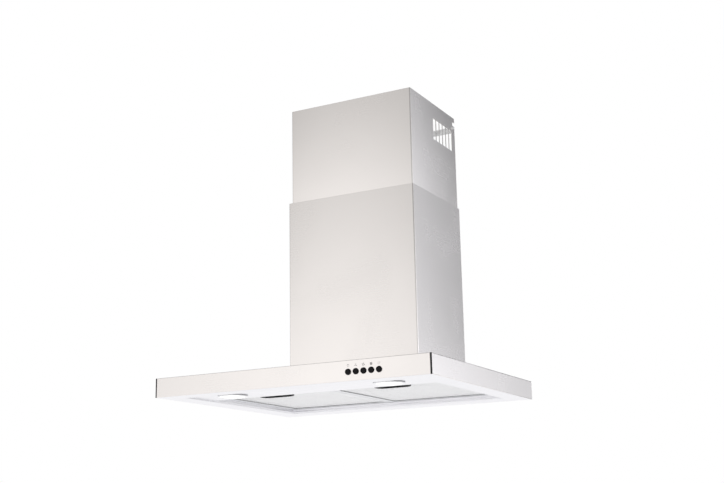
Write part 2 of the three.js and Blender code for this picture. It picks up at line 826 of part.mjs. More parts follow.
function upperBracket() {
  const half = upperHalf - sheet - gap;
  const level = [upperTop - bracketFromTop - bracketHeight, upperTop - bracketFromTop];
  const inside = [bracketSheet - half, half - bracketSheet];
  let bracket = cut(
    block([-half, half], [-bracketEar, 0], level),
    block(inside, [-bracketEar - 1, -bracketSheet], grown(level, 1)),
  );
  for (const side of [-1, 1]) {
    const ear = ordered(side * (half - 2 * bracketSheet), side * (half + 1));
    bracket = cut(
      bracket,
      rod('x', screwRadius + screwHoleGap, ear, [-bracketScrewY, upperTop - bracketScrewFromTop]),
      rod('y', wallScrewHole / 2, [-2 * bracketSheet, 1], [side * wallScrewX, (level[0] + level[1]) / 2]),
    );
  }
  return bracket;
}

// A pan-head screw along Z, with the underside of its head at the origin.
function screw() {
  return turned([
    [0, -screwLength],
    [screwRadius, -screwLength],
    [screwRadius, 0],
    [screwHeadRadius, 0],
    [screwHeadRadius, screwHead / 2],
    [screwHeadRadius / 2, screwHead],
    [0, screwHead],
  ], holeSides);
}

// ---- Wiring ----

const driverTop = canopyTop - sheet - gap;
const driverY = canopyFront + driverFromFront + driverSize.y / 2;

function lampDriver() {
  const half = driverSize.x / 2;
  return block(
    [-half, half],
    [driverY - driverSize.y / 2, driverY + driverSize.y / 2],
    [driverTop - driverSize.z, driverTop],
  );
}

function lampLead(side) {
  const start = lampHole / 2;
  const y = lampY;
  const z = driverTop - driverSize.z / 2;
  return wire(leadRadius, [
    [side * (lampX - start - wireEndGap), y, z],
    [side * (lampX - start - 8), y, z],
    [side * (driverSize.x / 2 + 8), driverY, z],
    [side * (driverSize.x / 2 + wireEndGap), driverY, z],
  ]);
}

// Up through the blower box's side chamber to the terminal box.
function riser(x, y) {
  return [
    [x, y - 40, canopyTop - 5],
    [x, y - 8, canopyTop + 20],
    [x, y, canopyTop + 60],
    [x, y, boxTop + gap + terminalWall + 3],
  ];
}

function switchHarness() {
  const [x, y] = harnessRise;
  const z = canopyTop - sheet - wireRoom - harnessRadius;
  return wire(harnessRadius, [
    [buttonPlaces[0], switchBack + wireEndGap, buttonRowZ],
    [buttonPlaces[0], switchBack + 6, buttonRowZ],
    [buttonPlaces[0] - 5, lampY, buttonRowZ + leadRadius],
    [x + 12, openingFrontY - 14, z - 2],
    [x, y - 120, z],
    ...riser(x, y),
  ]);
}

function driverLead() {
  const [x, y] = harnessRise;
  const z = driverTop - driverSize.z / 2;
  const beside = harnessRadius + leadRadius + 1;
  return wire(leadRadius, [
    [driverSize.x / 4, driverY + driverSize.y / 2 + wireEndGap, z],
    [driverSize.x / 4, driverY + driverSize.y / 2 + 8, z],
    [x - beside - 14, y - 90, z],
    [x - beside, y - 50, canopyTop - 2],
    [x - beside, y - 12, canopyTop + 30],
    [x - beside, y - 4, canopyTop + 60],
    [x - beside, y, boxTop - sheet - gap - leadRadius],
  ]);
}

// ---- Assembly ----

piece('canopy_shell', canopyShell(), brushedSteel, hood);
piece('front_fascia', frontFascia(), brushedSteel, hood);
piece('underside_panel', undersidePanel(), polishedSteel, hood);
piece('corner_strip_left', cornerStripPiece(-1), blackPlastic, hood);
piece('corner_strip_right', cornerStripPiece(1), blackPlastic, hood);

piece('switch_block', switchBlock(), blackPlastic, hood);
buttonNames.forEach((name, i) => {
  const button = piece(name, pushButton(), blackPlastic, hood);
  button.position.set(buttonPlaces[i], canopyFront - buttonProud, buttonRowZ);
});

for (const [side, word] of [[-1, 'left'], [1, 'right']]) {
  const middle = side * (filterSeam / 2 + halfFilter);
  const handle = side * handleX - middle;
  const filter = new THREE.Group();
  filter.position.set(middle, filterHingeY, filterUnder);
  piece(`filter_frame_${word}`, filterFrame(handle), aluminium, filter);
  piece(`filter_mesh_${word}`, filterMesh(handle), aluminium, filter);
  piece(`filter_handle_${word}`, handleCup(handle), blackPlastic, filter);
  piece(`filter_latch_${word}`, filterLatch(handle), chrome, filter);
  hood.add(filter);

  const lamp = new THREE.Group();
  lamp.position.set(side * lampX, lampY, panelLevel);
  piece(`lamp_housing_${word}`, lampHousing(), galvanised, lamp);
  piece(`lamp_bezel_${word}`, lampBezelRing(), chrome, lamp);
  piece(`lamp_lens_${word}`, lampLensDisc(), frostedGlass, lamp);
  piece(`lamp_led_${word}`, lampLed(), whitePlastic, lamp);
  hood.add(lamp);
}

piece('blower_box', blowerBox(), galvanised, hood);
const blower = new THREE.Group();
blower.position.set(0, shaftY, shaftZ);
piece('scroll_half_left', scrollHalfPiece(-1), greyPlastic, blower);
piece('scroll_half_right', scrollHalfPiece(1), greyPlastic, blower);
piece('impeller', impellerWheel(), blackPlastic, blower);
piece('motor_shaft', motorShaft(), chrome, blower);
piece('motor', motorBody(), galvanised, blower);
piece('motor_bracket', motorBracket(), galvanised, blower);
hood.add(blower);

const capacitorX = -scrollHalf - sideChamber / 2;
const capacitorZ = [boxTop - sheet - gap - capacitorLength, boxTop - sheet - gap];
const capacitorPlace = [capacitorX, -sheet - gap - capacitorRadius];
piece('capacitor', rod('z', capacitorRadius, capacitorZ, capacitorPlace, 24), whitePlastic, hood);
piece('terminal_box', terminalBox(), whitePlastic, hood);
piece('cable_gland', cableGland(), blackPlastic, hood);

const outlet = new THREE.Group();
outlet.position.set(0, shaftY, collarUnder);
piece('outlet_collar', outletCollar(), blackPlastic, outlet);
hood.add(outlet);
const damper = new THREE.Group();
damper.position.set(0, shaftY, collarUnder + flapRise);
piece('damper_flap_rear', damperFlap(1), greyPlastic, damper);
piece('damper_flap_front', damperFlap(-1), greyPlastic, damper);
piece('damper_pin', rod('x', flapPin, [-collarRadius, collarRadius], [0, 0]), chrome, damper);
hood.add(damper);

piece('lower_chimney', lowerCover(), brushedSteel, hood);
piece('upper_chimney', upperCover(), brushedSteel, hood);
piece('upper_wall_bracket', upperBracket(), galvanised, hood);

for (const [side, word] of [[-1, 'left'], [1, 'right']]) {
  const bracketScrew = piece(`upper_screw_${word}`, screw(), chrome, hood);
  bracketScrew.rotation.y = (side * Math.PI) / 2;
  bracketScrew.position.set(side * (upperHalf + gap), -bracketScrewY, upperTop - bracketScrewFromTop);
}
lowerScrews.forEach(([x, y], i) => {
  const lowerScrew = piece(`lower_screw_${i + 1}`, screw(), chrome, hood);
  lowerScrew.position.set(x, y, lowerUnder + sheet + gap);
});
boxScrews.forEach(([x, y], i) => {
  const boxScrew = piece(`box_screw_${i + 1}`, screw(), chrome, hood);
  boxScrew.position.set(x, y, boxUnder + sheet + gap);
});

piece('lamp_driver', lampDriver(), whitePlastic, hood);
piece('switch_harness', switchHarness(), cableSheath, hood);
piece('driver_lead', driverLead(), cableSheath, hood);
piece('lamp_lead_left', lampLead(-1), cableSheath, hood);
piece('lamp_lead_right', lampLead(1), cableSheath, hood);

export default hood;
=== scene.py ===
# Looks for a wall-mounted chimney range hood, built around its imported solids.
# +X is to the right of someone facing the hood, +Y goes into the wall and +Z is up.
# The pieces' settings are in millimetres, the camera's and the studio's in metres.
import math

import bmesh
import bpy
from mathutils import Matrix, Vector


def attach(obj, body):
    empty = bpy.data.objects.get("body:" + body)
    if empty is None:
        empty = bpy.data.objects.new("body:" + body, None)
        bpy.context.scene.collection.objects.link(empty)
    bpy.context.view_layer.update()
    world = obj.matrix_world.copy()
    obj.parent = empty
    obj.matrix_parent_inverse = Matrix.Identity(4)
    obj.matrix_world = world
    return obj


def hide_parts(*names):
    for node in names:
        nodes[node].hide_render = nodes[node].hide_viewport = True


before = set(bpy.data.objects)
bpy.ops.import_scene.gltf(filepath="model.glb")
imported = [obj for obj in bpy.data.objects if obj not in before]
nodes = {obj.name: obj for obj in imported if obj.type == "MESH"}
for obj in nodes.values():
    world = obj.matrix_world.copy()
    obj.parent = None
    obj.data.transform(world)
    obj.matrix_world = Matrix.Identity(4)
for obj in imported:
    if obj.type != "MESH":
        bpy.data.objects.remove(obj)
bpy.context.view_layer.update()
scene = bpy.context.scene
scene.view_settings.view_transform = "Standard"
mm = 0.001
sides = ((-1, "left"), (1, "right"))
print("frame loaded")


cameraSettings = {
    "place": (1.1485, -2.3476, -0.2859),
    "yaw": 27.968,
    "pitch": 14.002,
    "roll": -1.107,
    "lens": 58.23,
    "sensor": 36.0,
}


def makeCamera(settings):
    yaw, pitch, roll = (math.radians(settings[key]) for key in ("yaw", "pitch", "roll"))
    forward = Vector((-math.sin(yaw) * math.cos(pitch), math.cos(yaw) * math.cos(pitch), math.sin(pitch)))
    level = Vector((math.cos(yaw), math.sin(yaw), 0))
    upright = level.cross(forward)
    right = level * math.cos(roll) + upright * math.sin(roll)
    up = upright * math.cos(roll) - level * math.sin(roll)
    data = bpy.data.cameras.new("photoCamera")
    data.lens = settings["lens"]
    data.sensor_width = settings["sensor"]
    camera = bpy.data.objects.new("photoCamera", data)
    turn = Matrix((right, up, -forward)).transposed().to_4x4()
    camera.matrix_world = Matrix.Translation(settings["place"]) @ turn
    scene.collection.objects.link(camera)
    scene.camera = camera


makeCamera(cameraSettings)
print("camera placed")


# Sets or links a node's inputs, each given by its name or place.
def setInputs(tree, sockets, values):
    for key, value in values.items():
        if isinstance(value, bpy.types.NodeSocket):
            tree.links.new(value, sockets[key])
        else:
            sockets[key].default_value = value


def addNode(tree, kind, fields=None, inputs=None):
    node = tree.nodes.new(kind)
    for field, value in (fields or {}).items():
        setattr(node, field, value)
    setInputs(tree, node.inputs, inputs or {})
    return node


def calc(tree, operation, *values):
    return addNode(tree, "ShaderNodeMath", {"operation": operation}, dict(enumerate(values))).outputs[0]


def vectorCalc(tree, operation, *values, output=0):
    inputs = dict(enumerate(values))
    return addNode(tree, "ShaderNodeVectorMath", {"operation": operation}, inputs).outputs[output]


def splitVector(tree, vector):
    return addNode(tree, "ShaderNodeSeparateXYZ", inputs={0: vector}).outputs


def joinVector(tree, *parts):
    return addNode(tree, "ShaderNodeCombineXYZ", inputs=dict(enumerate(parts))).outputs[0]


def mixColors(tree, factor, *colors):
    first, second = ((*color, 1) if isinstance(color, (tuple, list)) else color for color in colors)
    inputs = {0: factor, 6: first, 7: second}
    return addNode(tree, "ShaderNodeMix", {"data_type": "RGBA"}, inputs).outputs[2]


def stretch(tree, value, fromLow, fromHigh, toLow, toHigh):
    inputs = {0: value, 1: fromLow, 2: fromHigh, 3: toLow, 4: toHigh}
    return addNode(tree, "ShaderNodeMapRange", {"clamp": True}, inputs).outputs[0]


def noise(tree, place, scale, detail, distortion=0.0):
    inputs = {"Vector": place, "Scale": scale, "Detail": detail, "Distortion": distortion}
    return addNode(tree, "ShaderNodeTexNoise", inputs=inputs).outputs[0]


# A group with named inputs and outputs, each given with its kind of socket.
def newGroup(name, kind, inputs, outputs):
    group = bpy.data.node_groups.new(name, kind)
    for direction, sockets in (("INPUT", inputs), ("OUTPUT", outputs)):
        for label, socketKind in sockets.items():
            group.interface.new_socket(name=label, in_out=direction, socket_type="NodeSocket" + socketKind)
    start = group.nodes.new("NodeGroupInput").outputs
    end = group.nodes.new("NodeGroupOutput").inputs
    return group, start, end


def useGroup(tree, group, **inputs):
    return addNode(tree, "ShaderNodeGroup", {"node_tree": group}, inputs).outputs


noiseRange = (0.3, 0.7)  # where most of a noise lies
effectSettings = {
    "flatFrom": 0.5,  # a face is flat where its normal's upright part is more than this
    "streakStretch": (0.3, 0.08, 0.08), "fineDetail": 2.0, "streakDetail": 3.0,
    "wipeDetail": 4.0, "wipeDistortion": 0.6, "wipeRange": (0.42, 0.68),
    "pebbleDetail": 3.0, "toneSize": 22.0, "toneDetail": 2.0,
}


# Straight brush lines: level on upright faces, along the hood's width on flat ones.
def makeBrushedGrain(look):
    inputs = {"Place": "Vector", "Facing": "Vector", "Along": "Float", "Across": "Float"}
    outputs = {"Fine": "Float", "Streak": "Float"}
    group, start, end = newGroup("brushedGrain", "ShaderNodeTree", inputs, outputs)
    upright = calc(group, "ABSOLUTE", splitVector(group, start["Facing"])[2])
    isFlat = calc(group, "GREATER_THAN", upright, look["flatFrom"])
    along, across = start["Along"], start["Across"]
    wallScale = joinVector(group, along, along, across)
    flatScale = joinVector(group, along, across, along)
    scales = {0: isFlat, 4: wallScale, 5: flatScale}
    scale = addNode(group, "ShaderNodeMix", {"data_type": "VECTOR"}, scales).outputs[1]
    drawn = vectorCalc(group, "MULTIPLY", start["Place"], scale)
    wide = vectorCalc(group, "MULTIPLY", drawn, look["streakStretch"])
    group.links.new(noise(group, drawn, 1.0, look["fineDetail"]), end["Fine"])
    group.links.new(noise(group, wide, 1.0, look["streakDetail"]), end["Streak"])
    return group


# Faint cloudy marks where hands and cloths have been.
def makeWipeMarks(look):
    inputs, outputs = {"Place": "Vector", "Size": "Float"}, {"Mask": "Float"}
    group, start, end = newGroup("wipeMarks", "ShaderNodeTree", inputs, outputs)
    cloud = noise(group, start["Place"], start["Size"], look["wipeDetail"], look["wipeDistortion"])
    group.links.new(stretch(group, cloud, *look["wipeRange"], 0.0, 1.0), end["Mask"])
    return group


# The pebbled skin that a mould leaves on plastic.
def makeMouldGrain(look):
    inputs, outputs = {"Place": "Vector", "Size": "Float"}, {"Height": "Float", "Tone": "Float"}
    group, start, end = newGroup("mouldGrain", "ShaderNodeTree", inputs, outputs)
    group.links.new(noise(group, start["Place"], start["Size"], look["pebbleDetail"]), end["Height"])
    group.links.new(noise(group, start["Place"], look["toneSize"], look["toneDetail"]), end["Tone"])
    return group


brushedGrain = makeBrushedGrain(effectSettings)
wipeMarks = makeWipeMarks(effectSettings)
mouldGrain = makeMouldGrain(effectSettings)


# A material with plain values on its shader, for textures to be linked over.
def newMaterial(name, color, metallic, roughness, **sockets):
    material = bpy.data.materials.new(name)
    material.use_nodes = True
    material.diffuse_color = (*color, 1)
    tree = material.node_tree
    shader = tree.nodes["Principled BSDF"].inputs
    values = {"Base Color": (*color, 1), "Metallic": metallic, "Roughness": roughness}
    values.update({label.replace("_", " "): value for label, value in sockets.items()})
    setInputs(tree, shader, values)
    coords = tree.nodes.new("ShaderNodeTexCoord").outputs
    return material, tree, shader, coords


# Relief from a height, its depth in millimetres.
def bumped(tree, height, strength, depth, **inputs):
    inputs.update({"Strength": strength, "Distance": depth * mm, "Height": height})
    return addNode(tree, "ShaderNodeBump", inputs=inputs).outputs[0]


brushedSettings = {"wipeSize": 7.0, "depth": 0.05}
brushedFinishes = {
    "brushedSteel": {"dark": (0.875, 0.846, 0.828), "light": (0.90, 0.870, 0.853), "rough": (0.255, 0.265),
                     "along": 5.0, "across": 1500.0, "wipes": 0.02, "bump": 0.008, "streak": 0.15},
    "undersideSteel": {"dark": (0.905, 0.90, 0.925), "light": (0.935, 0.93, 0.955), "rough": (0.25, 0.29),
                       "along": 7.0, "across": 1600.0, "wipes": 0.03, "bump": 0.01, "streak": 0.2},
    "filterAluminium": {"dark": (0.82, 0.825, 0.845), "light": (0.91, 0.915, 0.93), "rough": (0.28, 0.42),
                        "along": 30.0, "across": 1200.0, "wipes": 0.08, "bump": 0.1, "streak": 0.5},
    "meshAluminium": {"dark": (0.955, 0.955, 0.965), "light": (0.985, 0.985, 0.99), "rough": (0.28, 0.38),
                      "along": 220.0, "across": 900.0, "wipes": 0.10, "bump": 0.01, "streak": 0.5},
}

# Painted shade on the covers: only their shading normals are tipped, and the sheets keep their flat shape,
# so each cover is darker towards its top and lighter towards its foot. Each pair is a lean in radians at
# height or depth zero, and what it gains for each metre: "lean" tips every face up, "sideLean" and
# "sideTurn" tip the sides further up and to the rear. "edgeLean" tips the front up as well, by the square of
# the distance from its middle.
coverShadeTilts = {
    "lower": {"lean": (0.026, 0.072), "sideLean": (0.026, -0.08), "sideTurn": (0.020, 0.08),
              "edgeLean": 0.9},
    "upper": {"lean": (-0.114, 0.26), "sideLean": (0.003, 0.0), "sideTurn": (0.037, 0.2),
              "edgeLean": 1.2},
}
# Shaded copies of the brushed steel for the two covers, each carrying its painted shade tilts.
for word, bow in coverShadeTilts.items():
    brushedFinishes[word + "CoverSteel"] = {**brushedFinishes["brushedSteel"], "bow": bow}


# Tips a shading normal by a cover's shade tilts: painted shade, not a change in the sheet's shape.
def shadeTiltedNormal(tree, coords, bow):
    def line(distance, pair):
        return calc(tree, "MULTIPLY_ADD", distance, pair[1], pair[0])

    x, y, z = splitVector(tree, coords["Object"])
    isSide = calc(tree, "ABSOLUTE", splitVector(tree, coords["Normal"])[0])
    isFront = calc(tree, "SUBTRACT", 1.0, isSide)
    edgeLean = calc(tree, "MULTIPLY", calc(tree, "MULTIPLY", x, x), bow["edgeLean"])
    lean = calc(tree, "MULTIPLY_ADD", edgeLean, isFront, line(z, bow["lean"]))
    lean = calc(tree, "MULTIPLY_ADD", line(z, bow["sideLean"]), isSide, lean)
    turn = calc(tree, "MULTIPLY", line(y, bow["sideTurn"]), isSide)
    tiltedNormal = vectorCalc(tree, "ADD", coords["Normal"], joinVector(tree, 0.0, turn, lean))
    return vectorCalc(tree, "NORMALIZE", tiltedNormal)


def makeBrushedFinish(name, look, settings):
    material, tree, shader, coords = newMaterial(name, look["light"], 1.0, look["rough"][0])
    grain = useGroup(tree, brushedGrain, Place=coords["Object"], Facing=coords["Normal"],
                     Along=look["along"], Across=look["across"])
    wipes = useGroup(tree, wipeMarks, Place=coords["Object"], Size=settings["wipeSize"])
    streak = stretch(tree, grain["Streak"], *noiseRange, 0.0, look["streak"])
    tone = calc(tree, "MULTIPLY_ADD", grain["Fine"], 1 - look["streak"], streak)
    rough = stretch(tree, grain["Fine"], *noiseRange, *look["rough"])
    # The covers add their painted shade tilts to the grain's normal.
    bow = {"Normal": shadeTiltedNormal(tree, coords, look["bow"])} if "bow" in look else {}
    setInputs(tree, shader, {
        "Base Color": mixColors(tree, tone, look["dark"], look["light"]),
        "Roughness": calc(tree, "MULTIPLY_ADD", wipes["Mask"], look["wipes"], rough),
        "Normal": bumped(tree, grain["Fine"], look["bump"], settings["depth"], **bow),
    })
    return material


# Colour, roughness, size and strength of the grain, and specular level of each plastic.
plasticFinishes = {
    "blackPlastic": ((0.012, 0.012, 0.013), 0.46, 1700.0, 0.2, 0.25),
    "buttonBlack": ((0.005, 0.005, 0.006), 0.18, 2600.0, 0.03, 0.1),
    # The corner strips' black is partly their own colour and partly painted shade for the dark joints they
    # fill.
    "stripBlack": ((0.012, 0.012, 0.013), 0.42, 2200.0, 0.12, 0.3),
    "whitePlastic": ((0.80, 0.80, 0.775), 0.44, 1500.0, 0.18, 0.5),
    "greyPlastic": ((0.22, 0.228, 0.236), 0.52, 1300.0, 0.28, 0.45),
    "cableSheath": ((0.30, 0.30, 0.31), 0.48, 2400.0, 0.10, 0.45),
    "signGrey": ((0.06, 0.06, 0.065), 0.62, 5200.0, 0.05, 0.3),
    "boardWhite": ((0.74, 0.76, 0.74), 0.38, 900.0, 0.08, 0.5),
}
plasticSettings = {"shade": 0.86, "toneRange": (0.35, 0.65), "spread": 0.05, "wipeSize": 30.0, "wipes": 0.05,
                   "depth": 0.08}


def makePlastic(name, finish, look):
    color, roughness, grainSize, bump, specular = finish
    material, tree, shader, coords = newMaterial(name, color, 0.0, roughness, Specular_IOR_Level=specular)
    grain = useGroup(tree, mouldGrain, Place=coords["Object"], Size=grainSize)
    wipes = useGroup(tree, wipeMarks, Place=coords["Object"], Size=look["wipeSize"])
    darker = [part * look["shade"] for part in color]
    tone = stretch(tree, grain["Tone"], *look["toneRange"], 0.0, 1.0)
    spread = look["spread"]
    rough = stretch(tree, grain["Height"], *noiseRange, roughness - spread, roughness + spread)
    setInputs(tree, shader, {
        "Base Color": mixColors(tree, tone, darker, color),
        "Roughness": calc(tree, "MULTIPLY_ADD", wipes["Mask"], look["wipes"], rough),
        "Normal": bumped(tree, grain["Height"], bump, look["depth"]),
    })
    return material


galvanisedLook = {"dark": (0.76, 0.77, 0.78), "light": (0.86, 0.87, 0.88), "metallic": 0.7, "flake": 95.0,
                  "rough": (0.38, 0.52), "wipeSize": 12.0, "wipes": 0.08, "bump": 0.08, "depth": 0.05}


# Zinc spangle: flat flakes of slightly different grey and shine.
def makeGalvanised(name, look):
    material, tree, shader, coords = newMaterial(name, look["light"], look["metallic"], look["rough"][0])
    inputs = {"Vector": coords["Object"], "Scale": look["flake"]}
    flakes = addNode(tree, "ShaderNodeTexVoronoi", inputs=inputs).outputs["Color"]
    shades = addNode(tree, "ShaderNodeSeparateColor", inputs={0: flakes}).outputs
    wipes = useGroup(tree, wipeMarks, Place=coords["Object"], Size=look["wipeSize"])
    rough = stretch(tree, shades[1], 0.0, 1.0, *look["rough"])
    setInputs(tree, shader, {
        "Base Color": mixColors(tree, shades[0], look["dark"], look["light"]),
        "Roughness": calc(tree, "MULTIPLY_ADD", wipes["Mask"], look["wipes"], rough),
        "Normal": bumped(tree, shades[2], look["bump"], look["depth"]),
    })
    return material


polishLook = {"color": (0.86, 0.86, 0.87), "shade": 0.93, "rough": (0.07, 0.17), "haze": 60.0,
              "along": 60.0, "across": 2600.0, "bump": 0.03, "depth": 0.04}


def makePolishedMetal(name, look):
    material, tree, shader, coords = newMaterial(name, look["color"], 1.0, look["rough"][0])
    grain = useGroup(tree, brushedGrain, Place=coords["Object"], Facing=coords["Normal"],
                     Along=look["along"], Across=look["across"])
    wipes = useGroup(tree, wipeMarks, Place=coords["Object"], Size=look["haze"])
    darker = [part * look["shade"] for part in look["color"]]
    setInputs(tree, shader, {
        "Base Color": mixColors(tree, grain["Fine"], darker, look["color"]),
        "Roughness": stretch(tree, wipes["Mask"], 0.0, 1.0, *look["rough"]),
        "Normal": bumped(tree, grain["Fine"], look["bump"], look["depth"]),
    })
    return material


lensLook = {"color": (0.95, 0.95, 0.935), "rough": 0.38, "frostRough": (0.32, 0.46), "frost": 3200.0,
            "transmission": 0.2, "ior": 1.49, "glow": (1.0, 0.985, 0.95), "glowStrength": 0.8, "shade": 0.9,
            "bump": 0.2, "depth": 0.06}


# Opal diffuser with a fine frosting, a little lit from behind.
def makeLampGlass(name, look):
    material, tree, shader, coords = newMaterial(
        name, look["color"], 0.0, look["rough"], Transmission_Weight=look["transmission"], IOR=look["ior"],
        Emission_Strength=look["glowStrength"])
    frost = useGroup(tree, mouldGrain, Place=coords["Object"], Size=look["frost"])
    dimmer = [part * look["shade"] for part in look["glow"]]
    setInputs(tree, shader, {
        "Emission Color": mixColors(tree, frost["Tone"], dimmer, look["glow"]),
        "Roughness": stretch(tree, frost["Height"], *noiseRange, *look["frostRough"]),
        "Normal": bumped(tree, frost["Height"], look["bump"], look["depth"]),
    })
    return material


materials = {name: makeBrushedFinish(name, look, brushedSettings) for name, look in brushedFinishes.items()}
for name, finish in plasticFinishes.items():
    materials[name] = makePlastic(name, finish, plasticSettings)
materials["galvanisedSteel"] = makeGalvanised("galvanisedSteel", galvanisedLook)
materials["polishedMetal"] = makePolishedMetal("polishedMetal", polishLook)
materials["lampGlass"] = makeLampGlass("lampGlass", lensLook)
print("materials made:", len(materials))


# Adds a finished mesh as a piece on a body, in place of the CAD nodes it stands for.
def addPiece(name, mesh, material, body, *replaced):
    mesh.name = name
    piece = bpy.data.objects.new(name, mesh)
    scene.collection.objects.link(piece)
    mesh.materials.clear()
    mesh.materials.append(materials[material])
    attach(piece, body)
    if replaced:
        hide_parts(*replaced)


smoothAngle = math.radians(38)  # faces that turn less than this are shaded as one
sharpAngle = math.radians(50)  # edges that turn more than this are broken
flatAngle = math.radians(0.5)  # faces that turn less than this are one face
slack = 0.05  # how close two places have to be to count as the same


def near(value, target):
    return abs(value - target) < slack


def meshFrom(work):
    mesh = bpy.data.meshes.new("shape")
    work.to_mesh(mesh)
    work.free()
    return mesh


# A mesh that is smooth but for its sharp edges, with its faces outwards.
def smoothMesh(work):
    bmesh.ops.recalc_face_normals(work, faces=work.faces)
    for face in work.faces:
        face.smooth = True
    mesh = meshFrom(work)
    mesh.set_sharp_from_angle(angle=smoothAngle)
    return mesh


def objectFor(data):
    made = bpy.data.objects.new(data.name, data)
    scene.collection.objects.link(made)
    return made


# The mesh that an object's modifiers give, with the object removed.
def bakedMesh(made):
    bpy.context.view_layer.update()
    seen = made.evaluated_get(bpy.context.evaluated_depsgraph_get())
    mesh = bpy.data.meshes.new_from_object(seen)
    bpy.data.objects.remove(made)
    return mesh


# Adds closed meshes to another or cuts them out of it, one operation after the other.
def carvedMesh(mesh, steps):
    made = objectFor(mesh)
    tools = [objectFor(tool) for operation, tool in steps]
    for (operation, source), tool in zip(steps, tools):
        modifier = made.modifiers.new("carve", "BOOLEAN")
        modifier.operation = operation
        modifier.solver = "EXACT"
        modifier.object = tool
    result = bakedMesh(made)
    for tool in tools:
        bpy.data.objects.remove(tool)
    return result


def cutMesh(mesh, cutters):
    return carvedMesh(mesh, [("DIFFERENCE", cutter) for cutter in cutters])


# Joins rings of points, each to the next, and the last to the first if they go round.
def joinRings(work, rings, closed=False):
    following = rings[1:] + rings[:1] if closed else rings[1:]
    for lower, upper in zip(rings, following):
        for i in range(max(len(lower), len(upper))):
            places = ((lower, i), (lower, i + 1), (upper, i + 1), (upper, i))
            corners = list(dict.fromkeys(ring[k % len(ring)] for ring, k in places))
            if len(corners) > 2:
                work.faces.new(corners)


# For each axis, two directions across it and the one along it.
axisFrames = {"x": ((0, 1, 0), (0, 0, 1), (1, 0, 0)), "y": ((0, 0, 1), (1, 0, 0), (0, 1, 0)),
              "z": ((1, 0, 0), (0, 1, 0), (0, 0, 1))}


# Turns a profile of (radius, distance along the axis) points about an axis.
def turnedMesh(profile, axis, centre, steps=72, closed=False):
    first, second, along = (Vector(direction) for direction in axisFrames[axis])
    turns = [i * 2 * math.pi / steps for i in range(steps)]
    work = bmesh.new()
    rings = []
    for radius, distance in profile:
        middle = Vector(centre) + along * distance
        ring = [middle]
        if radius > 0:
            ring = [middle + (first * math.cos(a) + second * math.sin(a)) * radius for a in turns]
        rings.append([work.verts.new(point * mm) for point in ring])
    joinRings(work, rings, closed)
    return smoothMesh(work)


# A solid rod, its two ends eased where that is asked.
def rodMesh(radius, low, high, axis, centre, steps=32, ease=0.0):
    profile = [(0, low), (radius, low), (radius, high), (0, high)]
    if ease:
        profile[1:3] = [(radius - ease, low), (radius, low + ease), (radius, high - ease),
                        (radius - ease, high)]
    return turnedMesh(profile, axis, centre, steps)


# Joins loops of equal length into a shell, capped at both ends or else going round.
def loftedMesh(loops, capped=True):
    work = bmesh.new()
    rings = [[work.verts.new(Vector(point) * mm) for point in loop] for loop in loops]
    joinRings(work, rings, not capped)
    if capped:
        work.faces.new(rings[0])
        work.faces.new(rings[-1])
    return smoothMesh(work)


roundShare = 2.2  # a rounding takes at most an edge's length over this


# Rounds the corners of an open or closed outline of 2D points.
def roundedOutline(points, radius, steps=4, closed=True):
    made = []
    count = len(points)
    for i, point in enumerate(points):
        here = Vector(point)
        if not closed and i in (0, count - 1):
            made.append(tuple(here))
            continue
        before, after = Vector(points[i - 1]) - here, Vector(points[(i + 1) % count]) - here
        reach = min(radius, before.length / roundShare, after.length / roundShare)
        start, end = here + before.normalized() * reach, here + after.normalized() * reach
        for step in range(steps + 1):
            t = step / steps
            made.append(tuple(start * (1 - t) ** 2 + here * 2 * t * (1 - t) + end * t ** 2))
    return made


def boxMesh(first, second):
    work = bmesh.new()
    bmesh.ops.create_cube(work, size=1.0)
    size = [abs(b - a) * mm for a, b in zip(first, second)]
    middle = [(a + b) / 2 * mm for a, b in zip(first, second)]
    work.transform(Matrix.Translation(middle) @ Matrix.Diagonal((*size, 1)))
    return meshFrom(work)


def joinedMesh(parts):
    work = bmesh.new()
    for part in parts:
        work.from_mesh(part)
    return meshFrom(work)


def bevelEdges(work, edges, radius, steps):
    made = bmesh.ops.bevel(work, geom=edges, offset=radius * mm, segments=steps, profile=0.5,
                           affect="EDGES", clamp_overlap=True)
    for face in made["faces"]:
        face.smooth = True


# A copy of a CAD solid with its loose triangles merged and its sharp edges broken.
# Each bend is a test of an edge's two ends, a radius and a number of steps. Each cut is a plane's place and
# direction: it parts the faces there, because a wide ring-shaped face is badly filled.
def softenedMesh(node, edge, bends=(), drills=(), cuts=()):
    work = bmesh.new()
    work.from_mesh(nodes[node].data)
    bmesh.ops.remove_doubles(work, verts=work.verts, dist=0.01 * mm)
    mesh = meshFrom(work)
    if drills:
        mesh = cutMesh(mesh, drills)
    work = bmesh.new()
    work.from_mesh(mesh)
    bmesh.ops.dissolve_limit(work, angle_limit=flatAngle, verts=work.verts, edges=work.edges)
    for place, direction in cuts:
        everything = work.verts[:] + work.edges[:] + work.faces[:]
        bmesh.ops.bisect_plane(work, geom=everything, dist=0.001 * mm, plane_co=Vector(place) * mm,
                               plane_no=direction)
    for face in work.faces:
        face.smooth = False

    def isSharp(line):
        return line.is_manifold and line.calc_face_angle(0) > sharpAngle

    for test, radius, steps in bends:
        chosen = []
        for line in work.edges:
            if isSharp(line) and test(*(vert.co / mm for vert in line.verts)):
                chosen.append(line)
        bevelEdges(work, chosen, radius, steps)
    bevelEdges(work, [line for line in work.edges if isSharp(line)], edge, 2)
    return meshFrom(work)


# Broad faces stay flat, and narrow ones are smooth between sharp edges.
def flatFaced(mesh, narrow=4.0):
    mesh.set_sharp_from_angle(angle=smoothAngle)
    for face in mesh.polygons:
        longest = max((mesh.vertices[a].co - mesh.vertices[b].co).length for a, b in face.edge_keys)
        face.use_smooth = face.area < longest * narrow * mm
    return mesh


